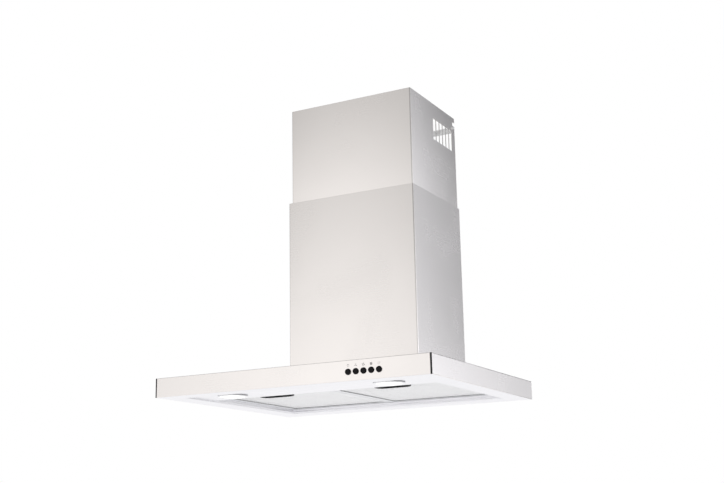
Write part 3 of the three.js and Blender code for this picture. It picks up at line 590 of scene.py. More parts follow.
# A softened CAD solid as a piece with the node's name in camelCase, and a side kept apart.
def addSoftened(node, material, body, edge, narrow=None):
    words = node.split("_")
    end = "_" + words.pop() if words[-1] in ("left", "right") else ""
    mesh = softenedMesh(node, edge)
    if narrow:
        flatFaced(mesh, narrow)
    addPiece(words[0] + "".join(word.title() for word in words[1:]) + end, mesh, material, body, node)


canopySettings = {
    "half": 300.0, "front": -500.0, "top": 19.0, "under": -19.0, "sheet": 1.0, "cutIn": 8.0,
    "foldRadius": 1.4, "foldInside": 0.6, "lowFold": 0.9, "fasciaFold": 0.9, "edge": 0.18, "stripEdge": 0.3,
    "panelLevel": -16.0, "creaseX": 256.0, "creaseY": (-460.0, -50.0), "creaseReach": 1.1,
    "creaseRadius": 1.1,
    "holeX": (133.8, 149.55, 165.3, 181.05, 196.8), "holeZ": -2.3, "holeRadius": 5.94, "drill": (-2.0, 4.0),
}


# A test of an edge that asks the same of its two ends.
def both(test):
    return lambda a, b: test(a) and test(b)


def makeCanopy(look):
    half, top, under, sheet, edge = (look[key] for key in ("half", "top", "under", "sheet", "edge"))
    topFold = both(lambda end: near(abs(end.x), half) and near(end.z, top))
    innerFold = both(lambda end: near(abs(end.x), half - sheet) and near(end.z, top - sheet))
    lowFold = both(lambda end: near(abs(end.x), half) and near(end.z, under))
    bends = ((topFold, look["foldRadius"], 4), (innerFold, look["foldInside"], 3),
             (lowFold, look["lowFold"], 3))
    cuts = [((side * (half - look["cutIn"]), 0, 0), (1, 0, 0)) for side, word in sides]
    cuts.append(((0, 0, top - look["cutIn"]), (0, 0, 1)))
    shell = softenedMesh("canopy_shell", edge, bends, cuts=cuts)
    addPiece("canopyShell", shell, "brushedSteel", "hood_body", "canopy_shell")

    fasciaFold = both(lambda end: near(end.y, look["front"]) and near(abs(end.z), top))
    drills = [rodMesh(look["holeRadius"], *look["drill"], "y", (x, look["front"], look["holeZ"]), 64)
              for x in look["holeX"]]
    fascia = softenedMesh("front_fascia", edge, ((fasciaFold, look["fasciaFold"], 4),), drills)
    addPiece("frontFascia", fascia, "brushedSteel", "hood_body", "front_fascia")

    def creaseEdge(a, b):
        isLevel = near(a.z, b.z) and (near(a.z, under) or near(a.z, look["panelLevel"]))
        folds = (look["creaseX"], look["creaseX"] - sheet)
        onX = any(near(abs(a.x), x) and near(abs(b.x), x) for x in folds)
        onY = near(a.y, b.y) and min(abs(a.y - y) for y in look["creaseY"]) < look["creaseReach"]
        return isLevel and (onX or onY)

    panel = softenedMesh("underside_panel", edge, ((creaseEdge, look["creaseRadius"], 4),))
    addPiece("undersidePanel", panel, "undersideSteel", "hood_body", "underside_panel")
    # Black corner strips in the joints between the fascia and the sides: a trim, and partly painted shade
    # where the joints are dark.
    for side, word in sides:
        addSoftened("corner_strip_" + word, "stripBlack", "hood_body", look["stripEdge"])


makeCanopy(canopySettings)
print("canopy made")


upperScrewPlace = (147.3, -9.0, 610.0)
lowerScrewPlaces = [(side * 144.0, -119.0, 20.6) for side, word in sides]
chimneySettings = {
    "lower": {"half": 151.0, "depth": 238.0, "levels": (19.0, 419.0), "breaks": (0.0,)},
    "upper": {"half": 147.0, "depth": 231.0, "levels": (234.0, 634.0),
              "breaks": [0.0] + [16.0 + 17.2 * i for i in range(7)]},
    "sheet": 1.0, "bendRadius": 2.4, "bendSteps": 6, "rimRadius": 0.2,
    "flangeReach": 12.0, "holeRadius": 2.3, "drill": 3.0, "cutOver": (-2.0, 1.0), "bracketEdge": 0.25,
    "vent": {"count": 6, "fromWall": 17.5, "width": 14.2, "pitch": 17.2, "levels": (551.0, 599.0),
             "corner": 1.0},
    "notch": {"depth": 11.0, "levels": (614.0, 623.0)},
}


# A sheet folded to three sides of a box and open at the wall, swept as a strip with eased rims.
# The breaks part its sides into plain faces between the vents.
def foldedCover(look, part):
    sheet = look["sheet"]
    low, high = part["levels"]

    def path(inset):
        x, y, radius = part["half"] - inset, inset - part["depth"], look["bendRadius"] - inset
        turns = [math.radians(90 * i / look["bendSteps"]) for i in range(look["bendSteps"] + 1)]
        bend = [(x - radius + radius * math.cos(a), y + radius - radius * math.sin(a)) for a in turns]
        right = [(x, -distance) for distance in part["breaks"]] + bend
        return [(-u, v) for u, v in right] + right[::-1]

    section = roundedOutline([(0, low), (0, high), (sheet, high), (sheet, low)], look["rimRadius"], 3)
    loops = []
    for (x0, y0), (x1, y1) in zip(path(0), path(sheet)):
        loops.append([(x0 + (x1 - x0) * d / sheet, y0 + (y1 - y0) * d / sheet, z) for d, z in section])
    return flatFaced(loftedMesh(loops))


def makeChimney(look):
    sheet, drill, bore = look["sheet"], look["drill"], look["holeRadius"]
    part = look["lower"]
    half, base = part["half"], part["levels"][0]
    tools = []
    for side, word in sides:
        outer = (side * (half - sheet / 2), sheet / 2 - part["depth"], base)
        inner = (side * (half - sheet - look["flangeReach"]), 0, base + sheet)
        tools.append(("UNION", boxMesh(outer, inner)))
    for place in lowerScrewPlaces:
        tools.append(("DIFFERENCE", rodMesh(bore, -drill, drill, "z", place)))
    lower = flatFaced(carvedMesh(foldedCover(look, part), tools))
    addPiece("lowerChimney", lower, "lowerCoverSteel", "hood_body", "lower_chimney")

    half, vent, notch = look["upper"]["half"], look["vent"], look["notch"]
    low, high = vent["levels"]
    cutters = []
    for side, word in sides:
        inside, outside = (side * (half + over) for over in look["cutOver"])
        for i in range(vent["count"]):
            rear = -vent["fromWall"] - i * vent["pitch"]
            front = rear - vent["width"]
            corners = [(front, low), (rear, low), (rear, high), (front, high)]
            outline = roundedOutline(corners, vent["corner"])
            cutters.append(loftedMesh([[(x, y, z) for y, z in outline] for x in (inside, outside)]))
        cutters.append(boxMesh((inside, -notch["depth"], notch["levels"][0]),
                               (outside, 1, notch["levels"][1])))
        cutters.append(rodMesh(bore, -drill, drill, "x", (side * half, *upperScrewPlace[1:])))
    upper = flatFaced(cutMesh(foldedCover(look, look["upper"]), cutters))
    addPiece("upperChimney", upper, "upperCoverSteel", "upper_section", "upper_chimney")
    addSoftened("upper_wall_bracket", "galvanisedSteel", "upper_section", look["bracketEdge"])


makeChimney(chimneySettings)
print("chimney made")


buttonSettings = {
    "names": (("light", "light_button"), ("speed_1", "speed_1_button"), ("speed_2", "speed_2_button"),
              ("speed_3", "speed_3_button"), ("off", "off_button")),
    "radius": 5.3, "crown": 0.8, "crownTurns": (math.pi / 2, 1.2, 0.8, 0.4, 0.0),
    "dish": 0.25, "dishShape": ((0.0, 1.0), (0.45, 0.72), (0.7, 0.3)),  # shares of the radius and the dish
    "capLength": 9.0, "collar": 1.4, "collarLength": 2.0, "collarEdge": 0.2,
    "stemRadius": 2.5, "stemLength": 14.0, "face": -503.0, "blockEdge": 0.4,
}


def makeButtons(look):
    radius, crown, stem, back = look["radius"], look["crown"], look["stemRadius"], look["capLength"]
    collar, front, end = radius + look["collar"], back - look["collarLength"], back + look["stemLength"]
    profile = [(radius * across, look["dish"] * deep) for across, deep in look["dishShape"]]
    for a in look["crownTurns"]:
        profile.append((radius - crown * (1 - math.cos(a)), crown * (1 - math.sin(a))))
    outline = [(radius, front - 1), (radius, front), (collar, front), (collar, back), (stem, back),
               (stem, end), (0, end)]
    profile += roundedOutline(outline, look["collarEdge"], 2, closed=False)
    for (word, body), x in zip(look["names"], canopySettings["holeX"]):
        cap = turnedMesh(profile, "y", (x, look["face"], canopySettings["holeZ"]), 64)
        addPiece("buttonCap_" + word, cap, "buttonBlack", body, "button_" + word)
    addSoftened("switch_block", "blackPlastic", "hood_body", look["blockEdge"])


signSettings = {
    "rise": 11.2, "size": 5.4, "proud": 0.05, "surface": -500.0, "line": 0.5,
    # A fan's blade of length and width 1, the turns of its blades, and their length and width.
    "blade": ((0.12, 0.0), (0.45, 1.0), (0.8, 1.1), (1.0, 0.4), (0.92, -0.25), (0.5, -0.2)),
    "bladeRound": 0.12,
    "fans": (((75, 195, 315), 1.0, 0.30), ((60, 150, 240, 330), 1.15, 0.34),
             ((10, 70, 130, 190, 250, 310), 1.0, 0.42)),
}


def arcPoints(centre, radius, start, end, steps):
    angles = [math.radians(start + (end - start) * i / steps) for i in range(steps + 1)]
    return [(centre[0] + radius * math.cos(a), centre[1] + radius * math.sin(a)) for a in angles]


def band(centre, radius, width, start, end, steps=24):
    outside = arcPoints(centre, radius, start, end, steps)
    return outside + arcPoints(centre, radius - width, end, start, steps)


def bar(half, low, high):
    return [(-half, low), (half, low), (half, high), (-half, high)]


def turned2d(points, angle):
    cosine, sine = math.cos(angle), math.sin(angle)
    return [(u * cosine - v * sine, u * sine + v * cosine) for u, v in points]


# Flat outlines about each sign's middle: a lamp, three fans and a switch-off ring.
def signOutlines(look):
    half, line = look["size"] / 2, look["line"]
    bulb = [band((0, half * 0.3), half * 0.72, line, -50, 230), bar(half * 0.3, -half * 0.62, -half * 0.42),
            bar(half * 0.22, -half, -half * 0.8)]
    off = [band((0, 0), half * 0.85, line * 0.6, 120, 420), bar(line * 0.3, half * 0.3, half * 1.05)]
    fans = []
    for turns, length, width in look["fans"]:
        blade = roundedOutline([(u, v * width) for u, v in look["blade"]], look["bladeRound"], 3)
        blade = [(u * half * length, v * half * length) for u, v in blade]
        fans.append([turned2d(blade, math.radians(turn)) for turn in turns])
    return [bulb, *fans, off]


def makeSigns(look):
    work = bmesh.new()
    levels = (look["surface"] - look["proud"], look["surface"] + look["proud"] / 2)
    z = canopySettings["holeZ"] + look["rise"]
    for x, outlines in zip(canopySettings["holeX"], signOutlines(look)):
        for outline in outlines:
            rings = [[work.verts.new(Vector((x + u, y, z + v)) * mm) for u, v in outline] for y in levels]
            joinRings(work, rings)
            for ring in rings:
                work.faces.new(ring)
    bmesh.ops.recalc_face_normals(work, faces=work.faces)
    addPiece("buttonSigns", meshFrom(work), "signGrey", "hood_body")


makeButtons(buttonSettings)
makeSigns(signSettings)
print("buttons made")


lampSettings = {
    "x": 174.0, "y": -416.0, "level": -16.0, "gap": 0.3, "wall": 1.3,
    "bezel": 31.0, "window": 24.0, "bezelDepth": 1.1, "bezelSlope": (0.8, 0.5), "bezelEdge": (1.6, 0.9),
    "bezelRound": 0.35, "hole": 28.0, "roof": 28.0, "canRound": 0.8,
    "lens": 25.8, "lensThickness": 2.2, "lensCrown": 0.5, "lensSeat": 0.1,
    "crownShares": (0, 0.3, 0.55, 0.75),
    "board": ((0, 20), (9.7, 20), (10, 20.3), (10, 22), (19.8, 22), (20, 22.2), (20, 23.8), (19.8, 24),
              (0, 24)),
}


def makeLamps(look):
    gap, wall, hole, roof = look["gap"], look["wall"], look["hole"] - look["gap"], look["roof"]
    under = -gap - wall
    top = under - gap
    face = top - look["bezelDepth"]
    flange = look["bezel"] - wall
    (slopeIn, slopeUp), (edgeIn, edgeUp) = look["bezelSlope"], look["bezelEdge"]
    window, rim = look["window"], look["bezel"]
    bezel = roundedOutline([(window, face + slopeUp), (window + slopeIn, face), (rim - edgeIn, face),
                            (rim, face + edgeUp), (rim, top), (window, top)], look["bezelRound"])
    can = roundedOutline([(flange, under), (flange, -gap), (hole, -gap), (hole, roof), (0, roof)],
                         look["canRound"], closed=False)
    can += [(0, roof - wall), (hole - wall, roof - wall), (hole - wall, under)]
    seat, radius = under + look["lensSeat"], look["lens"]
    lens = [(radius * share, seat - look["lensCrown"] * (1 - share ** 2)) for share in look["crownShares"]]
    lens += [(radius, seat), (radius, under + look["lensThickness"]), (0, under + look["lensThickness"])]
    for side, word in sides:
        centre = (side * look["x"], look["y"], look["level"])
        for name, node, material, profile, steps, closed in (
                ("lampBezel_", "lamp_bezel_", "polishedMetal", bezel, 96, True),
                ("lampHousing_", "lamp_housing_", "galvanisedSteel", can, 72, True),
                ("lampLens_", "lamp_lens_", "lampGlass", lens, 72, False),
                ("lampLed_", "lamp_led_", "boardWhite", look["board"], 64, False)):
            mesh = turnedMesh(profile, "z", centre, steps, closed)
            addPiece(name + word, mesh, material, "hood_body", node + word)


makeLamps(lampSettings)
print("lamps made")


filterSettings = {
    "hingeY": -64.0, "under": -10.0, "middle": 125.0, "halfWidth": 124.0,
    "front": -298.5, "rear": 4.5, "wall": 4.0, "frameEdge": 0.35, "latchEdge": 0.3,
    "handleX": 132.0, "handleY": -254.5, "handleSize": (76.0, 34.0), "dishSize": (72.0, 30.0),
    "cupWall": 1.0, "rim": (-1.5, 1.0), "cupRoof": 8.5, "latchOffset": 17.0, "slot": (17.0, 30.0, 3.5, 6.1),
    "fineCell": (8.0, 4.0), "wideCell": (16.0, 8.0), "strands": ((1.5, 0.06), (2.4, 0.1)),
    "levels": (1.75, 7.2), "meshGap": 1.4,
}


# Points round a stadium at one height.
def stadiumLoop(size, centre, z, steps=16):
    radius = size[1] / 2
    straight = size[0] / 2 - radius
    loop = []
    for side, start in ((1, -90), (-1, 90)):
        middle = centre[0] + side * straight
        for i in range(steps + 1):
            a = math.radians(start + 180 * i / steps)
            loop.append((middle + radius * math.cos(a), centre[1] + radius * math.sin(a), z))
    return loop


def shrunk(size, by):
    return (size[0] - 2 * by, size[1] - 2 * by)


# Rings over the cup's roof, down its outside, round the rim's rounded edges and up the dish.
def makeHandleCup(look, word, centre, latchX):
    low, high = look["rim"]
    base, roof = look["under"], look["cupRoof"]
    outer, dish = look["handleSize"], look["dishSize"]
    inside = shrunk(dish, look["cupWall"])
    rings = [
        (shrunk(dish, 1.6), roof), (shrunk(dish, 0.5), roof - 0.5), (dish, roof - 1.5), (dish, high),
        (outer, high), (outer, low + 0.45), (shrunk(outer, 0.15), low + 0.15), (shrunk(outer, 0.45), low),
        (shrunk(inside, -0.5), low), (shrunk(inside, -0.12), low + 0.15), (inside, low + 0.6),
        (inside, roof - 3.6), (shrunk(inside, 0.35), roof - 2.4), (shrunk(inside, 1.1), roof - 1.5),
        (shrunk(inside, 2.4), roof - 1.0),
    ]
    cup = loftedMesh([stadiumLoop(size, centre, base + z) for size, z in rings])
    width, reach, slotLow, slotHigh = look["slot"]
    slot = boxMesh((latchX - width / 2, centre[1] - reach, base + slotLow),
                   (latchX + width / 2, centre[1], base + slotHigh))
    cup = cutMesh(cup, [slot])
    cup.set_sharp_from_angle(angle=smoothAngle)
    addPiece("filterHandle_" + word, cup, "blackPlastic", "filter_" + word, "filter_handle_" + word)


# The end of a Geometry Nodes tree: a shape on every point, as one plain mesh of one material.
def placeShapes(group, start, end, points, shape, **turn):
    inputs = {"Points": points, "Instance": shape, **turn}
    spread = addNode(group, "GeometryNodeInstanceOnPoints", inputs=inputs).outputs[0]
    real = addNode(group, "GeometryNodeRealizeInstances", inputs={0: spread}).outputs[0]
    inputs = {0: real, "Material": start["Material"]}
    painted = addNode(group, "GeometryNodeSetMaterial", inputs=inputs).outputs[0]
    group.links.new(painted, end["Geometry"])


# Geometry Nodes: a sheet of expanded metal, one diamond loop to a cell, with a hole for the handle cup.
# Two grids of loops, half a cell apart both ways, make the pattern.
def makeMeshTree():
    sizes = ("Width", "Length", "Cell width", "Cell length", "Strand width", "Strand thickness",
             "Hole half length", "Hole half width")
    inputs = {"Geometry": "Geometry", "Centre": "Vector", "Hole centre": "Vector", "Material": "Material"}
    inputs.update({label: "Float" for label in sizes})
    group, start, end = newGroup("expandedMetal", "GeometryNodeTree", inputs, {"Geometry": "Geometry"})

    # How many loops fit along a side of the sheet, and how far the last is from the first.
    def rowOf(side, cell):
        cells = calc(group, "DIVIDE", start[side], start[cell])
        count = calc(group, "FLOOR", calc(group, "SUBTRACT", cells, 0.5))
        return count, calc(group, "MULTIPLY", calc(group, "SUBTRACT", count, 1.0), start[cell])

    across, reachX = rowOf("Width", "Cell width")
    down, reachY = rowOf("Length", "Cell length")
    inputs = {0: reachX, 1: reachY, 2: across, 3: down}
    grid = addNode(group, "GeometryNodeMeshGrid", inputs=inputs).outputs[0]
    points = addNode(group, "GeometryNodeJoinGeometry")
    cell = joinVector(group, start["Cell width"], start["Cell length"])
    for quarter in (0.25, -0.25):
        shift = vectorCalc(group, "MULTIPLY", cell, (quarter, quarter, 0))
        place = vectorCalc(group, "ADD", start["Centre"], shift)
        part = addNode(group, "GeometryNodeTransform", inputs={0: grid, "Translation": place})
        group.links.new(part.outputs[0], points.inputs[0])

    place = group.nodes.new("GeometryNodeInputPosition").outputs[0]
    x, y, z = splitVector(group, vectorCalc(group, "SUBTRACT", place, start["Hole centre"]))
    straight = calc(group, "SUBTRACT", start["Hole half length"], start["Hole half width"])
    beyond = calc(group, "MAXIMUM", calc(group, "SUBTRACT", calc(group, "ABSOLUTE", x), straight), 0.0)
    distance = vectorCalc(group, "LENGTH", joinVector(group, beyond, y), output="Value")
    inHole = calc(group, "LESS_THAN", distance, start["Hole half width"])
    inputs = {0: points.outputs[0], 1: inHole}
    kept = addNode(group, "GeometryNodeDeleteGeometry", {"domain": "POINT"}, inputs).outputs[0]

    loopWidth = calc(group, "SUBTRACT", start["Cell width"], start["Strand width"])
    loopLength = calc(group, "SUBTRACT", start["Cell length"], start["Strand width"])
    halfLength = calc(group, "MULTIPLY", loopLength, 0.5)
    loop = addNode(group, "GeometryNodeCurvePrimitiveQuadrilateral", {"mode": "KITE"},
                   {"Width": loopWidth, "Bottom Height": halfLength, "Top Height": halfLength})
    strand = addNode(group, "GeometryNodeCurvePrimitiveQuadrilateral", {"mode": "RECTANGLE"},
                     {"Width": start["Strand width"], "Height": start["Strand thickness"]})
    swept = addNode(group, "GeometryNodeCurveToMesh", inputs={0: loop.outputs[0], 1: strand.outputs[0]})
    flat = addNode(group, "GeometryNodeSetShadeSmooth", inputs={0: swept.outputs[0], "Shade Smooth": False})
    placeShapes(group, start, end, kept, flat.outputs[0])
    return group


# Runs a Geometry Nodes tree on a mesh of seed points and gives the mesh it makes.
def grownMesh(seed, group, values):
    made = objectFor(seed)
    modifier = made.modifiers.new(group.name, "NODES")
    modifier.node_group = group
    for socket in group.interface.items_tree:
        if socket.in_out == "INPUT" and socket.name in values:
            modifier[socket.identifier] = values[socket.name]
    return bakedMesh(made)


expandedMetal = makeMeshTree()


def makeFilterMesh(look, word, centreX, cupX):
    margin = look["wall"] + look["meshGap"]
    middleY = look["hingeY"] + (look["rear"] + look["front"]) / 2
    dishHalf = [size / 2 for size in look["dishSize"]]
    parts = []
    for cell, level, strand in zip((look["fineCell"], look["wideCell"]), look["levels"], look["strands"]):
        z = look["under"] + level
        sizes = {
            "Width": 2 * (look["halfWidth"] - margin), "Length": look["rear"] - look["front"] - 2 * margin,
            "Cell width": cell[0], "Cell length": cell[1],
            "Strand width": strand[0], "Strand thickness": strand[1],
            "Hole half length": dishHalf[0] + cell[0] / 2, "Hole half width": dishHalf[1] + cell[1] / 2,
        }
        values = {label: size * mm for label, size in sizes.items()}
        values["Centre"] = [centreX * mm, middleY * mm, z * mm]
        values["Hole centre"] = [cupX * mm, (look["hingeY"] + look["handleY"]) * mm, z * mm]
        values["Material"] = materials["meshAluminium"]
        parts.append(grownMesh(bpy.data.meshes.new("meshSeed"), expandedMetal, values))
    mesh = joinedMesh(parts)
    addPiece("filterMesh_" + word, mesh, "meshAluminium", "filter_" + word, "filter_mesh_" + word)


def makeFilters(look):
    for side, word in sides:
        cupX = side * look["handleX"]
        addSoftened("filter_frame_" + word, "filterAluminium", "filter_" + word, look["frameEdge"])
        makeHandleCup(look, word, (cupX, look["hingeY"] + look["handleY"]), cupX + look["latchOffset"])
        makeFilterMesh(look, word, side * look["middle"], cupX)
        addSoftened("filter_latch_" + word, "polishedMetal", "latch_" + word, look["latchEdge"])


makeFilters(filterSettings)
print("filters made")


screwSettings = {
    "radius": 2.0, "length": 9.0, "tip": (0.4, 1.6),  # the tip's share of the radius, and its length
    "headRadius": 3.8, "head": 2.2, "headRim": (0.2, 0.5), "domeTurns": (0.0, 0.35, 0.7, 1.05, 1.3),
    "cross": (3.6, 0.9, 1.3),
}
boxScrewPlaces = [(side * 124.0, y, 20.6) for side, word in sides for y in (-24.0, -188.0)]


# One pan-head screw along Z, its head's underside at the origin, with a cross recess.
def makeScrewShape(look):
    head, top, radius, end = look["headRadius"], look["head"], look["radius"], -look["length"]
    tipShare, tipLength = look["tip"]
    ease, rim = look["headRim"]
    dome = [(head * math.cos(a), rim + (top - rim) * math.sin(a)) for a in look["domeTurns"]]
    profile = [(0, end), (radius * tipShare, end), (radius, end + tipLength), (radius, 0),
               (head - ease, 0), (head, ease)] + dome + [(0, top)]
    long, wide, deep = look["cross"]
    arms = [boxMesh((-a / 2, -b / 2, top - deep), (a / 2, b / 2, top + 1))
            for a, b in ((long, wide), (wide, long))]
    shape = cutMesh(turnedMesh(profile, "z", (0, 0, 0), 24), arms)
    shape.set_sharp_from_angle(angle=smoothAngle)
    return shape


# Geometry Nodes: sets a screw on each point, pointing the way of the point's "facing".
def makeScrewTree():
    inputs = {"Geometry": "Geometry", "Screw": "Object", "Material": "Material"}
    group, start, end = newGroup("screwSet", "GeometryNodeTree", inputs, {"Geometry": "Geometry"})
    facing = addNode(group, "GeometryNodeInputNamedAttribute", {"data_type": "FLOAT_VECTOR"},
                     {"Name": "facing"})
    turn = addNode(group, "FunctionNodeAlignRotationToVector", {"axis": "Z"}, {"Vector": facing.outputs[0]})
    shape = addNode(group, "GeometryNodeObjectInfo", inputs={0: start["Screw"]}).outputs["Geometry"]
    placeShapes(group, start, end, start["Geometry"], shape, Rotation=turn.outputs[0])
    return group


def makeScrews(look):
    shape = objectFor(makeScrewShape(look))
    tree = makeScrewTree()
    upper = [((side * upperScrewPlace[0], *upperScrewPlace[1:]), (side, 0, 0)) for side, word in sides]
    lower = [(place, (0, 0, 1)) for place in lowerScrewPlaces + boxScrewPlaces]
    sets = (
        ("upperScrews", upper, "upper_section", ("upper_screw_left", "upper_screw_right")),
        ("baseScrews", lower, "hood_body", (
            "lower_screw_1", "lower_screw_2", "box_screw_1", "box_screw_2", "box_screw_3", "box_screw_4")),
    )
    for name, places, body, replaced in sets:
        seed = bpy.data.meshes.new("screwSeed")
        seed.from_pydata([Vector(point) * mm for point, facing in places], [], [])
        directions = seed.attributes.new("facing", "FLOAT_VECTOR", "POINT")
        for i, (point, facing) in enumerate(places):
            directions.data[i].vector = facing
        mesh = grownMesh(seed, tree, {"Screw": shape, "Material": materials["polishedMetal"]})
        addPiece(name, mesh, "polishedMetal", body, *replaced)
    bpy.data.objects.remove(shape)


makeScrews(screwSettings)
print("screws made")


outletSettings = {
    "centre": (0.0, -106.0, 230.9), "radius": 75.0, "wall": 1.5, "height": 62.0,
    "stop": 21.1, "stopDepth": 3.5, "footRise": 0.4, "groove": (3.0, 4.0, 7.0, 8.0), "grooveDepth": 0.6,
    "edge": 0.3, "pinHole": (2.3, 90.0), "pinRise": 22.0,
    "flange": 2.5, "flangeHalf": 82.0, "flangeCorner": 6.0,
}


# A tube with an inner stop and a groove below its top, and a square flange with a round hole.
def makeOutlet(look):
    radius, top, stop, foot = look["radius"], look["height"], look["stop"], look["footRise"]
    x, y, z = centre = look["centre"]
    inner = radius - look["wall"]
    lip, neck = inner - look["stopDepth"], radius - look["grooveDepth"]
    first, second, third, fourth = (top - drop for drop in look["groove"])
    outline = [
        (lip, stop - look["wall"]), (lip, stop), (inner, stop), (inner, top), (radius, top), (radius, first),
        (neck, second), (neck, third), (radius, fourth), (radius, foot), (inner, foot),
        (inner, stop - look["wall"]),
    ]
    tube = turnedMesh(roundedOutline(outline, look["edge"], 3), "z", centre, 96, closed=True)
    bore, reach = look["pinHole"]
    tube = cutMesh(tube, [rodMesh(bore, -reach, reach, "x", (x, y, z + look["pinRise"]), 24)])
    tube.set_sharp_from_angle(angle=smoothAngle)
    half = look["flangeHalf"]
    corners = roundedOutline(bar(half, -half, half), look["flangeCorner"], 6)
    hole = [(inner * math.cos(math.atan2(v, u)), inner * math.sin(math.atan2(v, u))) for u, v in corners]
    loops = []
    for ring, rise in ((corners, 0), (corners, look["flange"]), (hole, look["flange"]), (hole, 0)):
        loops.append([(x + u, y + v, z + rise) for u, v in ring])
    collar = joinedMesh([tube, loftedMesh(loops, capped=False)])
    addPiece("outletCollar", collar, "blackPlastic", "hood_body", "outlet_collar")


wheelSettings = {
    "axis": (0.0, -106.0, 124.3), "radius": 75.0, "half": 45.0,
    "ring": 3.0, "ringInside": 63.0, "ringRound": 0.8,
    "hub": 10.0, "bore": 4.0, "hubHalf": 4.0, "discHalf": 1.0, "discRound": 0.5,
    "blades": 20, "bladeSize": (87.0, 11.0, 1.6), "bladeTilt": 0.5, "bladeRise": 68.5, "bladeRound": 0.7,
    "motor": (-52.0, -6.0, 40.0), "motorGap": 0.3, "motorRound": 1.6, "boss": (14.0, 1.0),
    "shaft": (3.7, -60.0, 20.0), "shaftEdge": 0.5,
}


# Geometry Nodes: turns copies of one blade about the wheel's axis.
def makeBladeTree():
    inputs = {"Geometry": "Geometry", "Blade": "Object", "Count": "Int", "Material": "Material"}
    group, start, end = newGroup("bladeRing", "GeometryNodeTree", inputs, {"Geometry": "Geometry"})
    inputs = {"Count": start["Count"], "Offset": (0, 0, 0)}
    line = addNode(group, "GeometryNodeMeshLine", {"mode": "OFFSET"}, inputs)
    index = group.nodes.new("GeometryNodeInputIndex").outputs[0]
    turn = calc(group, "DIVIDE", calc(group, "MULTIPLY", index, 2 * math.pi), start["Count"])
    shape = addNode(group, "GeometryNodeObjectInfo", inputs={0: start["Blade"]}).outputs["Geometry"]
    placeShapes(group, start, end, line.outputs[0], shape, Rotation=joinVector(group, turn))
    return group


def makeWheel(look):
    axis, half, radius, bore, hub = (look[key] for key in ("axis", "half", "radius", "bore", "hub"))
    long, deep, thick = look["bladeSize"]
    section = roundedOutline(bar(deep / 2, -thick / 2, thick / 2), look["bladeRound"], 3)
    section = [(u + look["bladeRise"], v) for u, v in turned2d(section, look["bladeTilt"])]
    blade = objectFor(loftedMesh([[(x, u, v) for u, v in section] for x in (-long / 2, long / 2)]))
    values = {"Blade": blade, "Count": look["blades"], "Material": materials["blackPlastic"]}
    blades = grownMesh(bpy.data.meshes.new("wheelSeed"), makeBladeTree(), values)
    bpy.data.objects.remove(blade)
    blades.transform(Matrix.Translation(Vector(axis) * mm))
    thin, thickHub = look["discHalf"], look["hubHalf"]
    outline = [(bore, -thickHub), (hub, -thickHub), (hub, -thin), (radius, -thin), (radius, thin),
               (hub, thin), (hub, half / 2), (bore, half / 2)]
    disc = roundedOutline(outline, look["discRound"], 3)
    parts = [blades, turnedMesh(disc, "x", axis, 96, closed=True)]
    for side, word in sides:
        outer, inner, inside = side * half, side * (half - look["ring"]), look["ringInside"]
        ring = roundedOutline([(inside, outer), (radius, outer), (radius, inner), (inside, inner)],
                              look["ringRound"], 3)
        parts.append(turnedMesh(ring, "x", axis, 96, closed=True))
    addPiece("blowerImpeller", joinedMesh(parts), "blackPlastic", "blower_wheel", "impeller")


def makeMotor(look):
    axis, bore = look["axis"], look["bore"] + look["motorGap"]
    low, high, wide = look["motor"]
    boss, rise = look["boss"]
    can = roundedOutline([(bore, low), (wide, low), (wide, high), (boss, high), (boss, high + rise),
                          (bore, high + rise)], look["motorRound"], 5)
    addPiece("blowerMotor", turnedMesh(can, "x", axis, closed=True), "galvanisedSteel", "hood_body", "motor")
    shaft = rodMesh(*look["shaft"], "x", axis, ease=look["shaftEdge"])
    addPiece("motorShaft", shaft, "polishedMetal", "blower_wheel", "motor_shaft")


# Material, edge radius, how narrow a face has to be to look smooth, and the CAD nodes.
plainNodes = (
    ("galvanisedSteel", 0.25, 20.0, ("blower_box", "motor_bracket")),
    ("whitePlastic", 0.5, 20.0, ("terminal_box", "lamp_driver")),
    ("greyPlastic", 0.3, 20.0, ("scroll_half_left", "scroll_half_right")),
    ("blackPlastic", 0.4, 2.5, ("cable_gland",)),
)
damperSettings = {
    "axis": (0.0, -106.0, 252.9), "radius": 72.3, "half": 0.6, "rimEdge": (0.4, 0.2),
    "start": 4.2, "over": 1.0, "cutHalf": 2.0, "knuckle": (0.3, 36.0, 3.5), "bore": 2.3,
    "pin": (2.0, -75.0, 75.0), "pinEdge": 0.4,
}


# Each flap is half a disc with a tab to a knuckle that turns on the pin.
def makeDampers(look):
    axis, radius, half, over = look["axis"], look["radius"], look["half"], look["over"]
    y, z = axis[1:]
    easeIn, easeUp = look["rimEdge"]
    rim = [(0, -half), (radius - easeIn, -half), (radius, easeUp - half), (radius, half - easeUp),
           (radius - easeIn, half), (0, half)]
    close, far, wide = look["knuckle"]
    for side, word in ((1, "rear"), (-1, "front")):
        away = boxMesh((-radius - over, y - side * (radius + over), z - look["cutHalf"]),
                       (radius + over, y + side * look["start"], z + look["cutHalf"]))
        tab = boxMesh((side * close, y + side, z - half),
                      (side * far, y + side * (look["start"] + over), z + half))
        knuckle = rodMesh(wide, side * close, side * far, "x", axis)
        bore = rodMesh(look["bore"], side * (close - over), side * (far + over), "x", axis)
        steps = [("DIFFERENCE", away), ("UNION", tab), ("UNION", knuckle), ("DIFFERENCE", bore)]
        flap = flatFaced(carvedMesh(turnedMesh(rim, "z", axis, 96), steps))
        addPiece("damperFlap_" + word, flap, "greyPlastic", word + "_damper", "damper_flap_" + word)
    pin = rodMesh(*look["pin"], "x", axis, ease=look["pinEdge"])
    addPiece("damperPin", pin, "polishedMetal", "hood_body", "damper_pin")


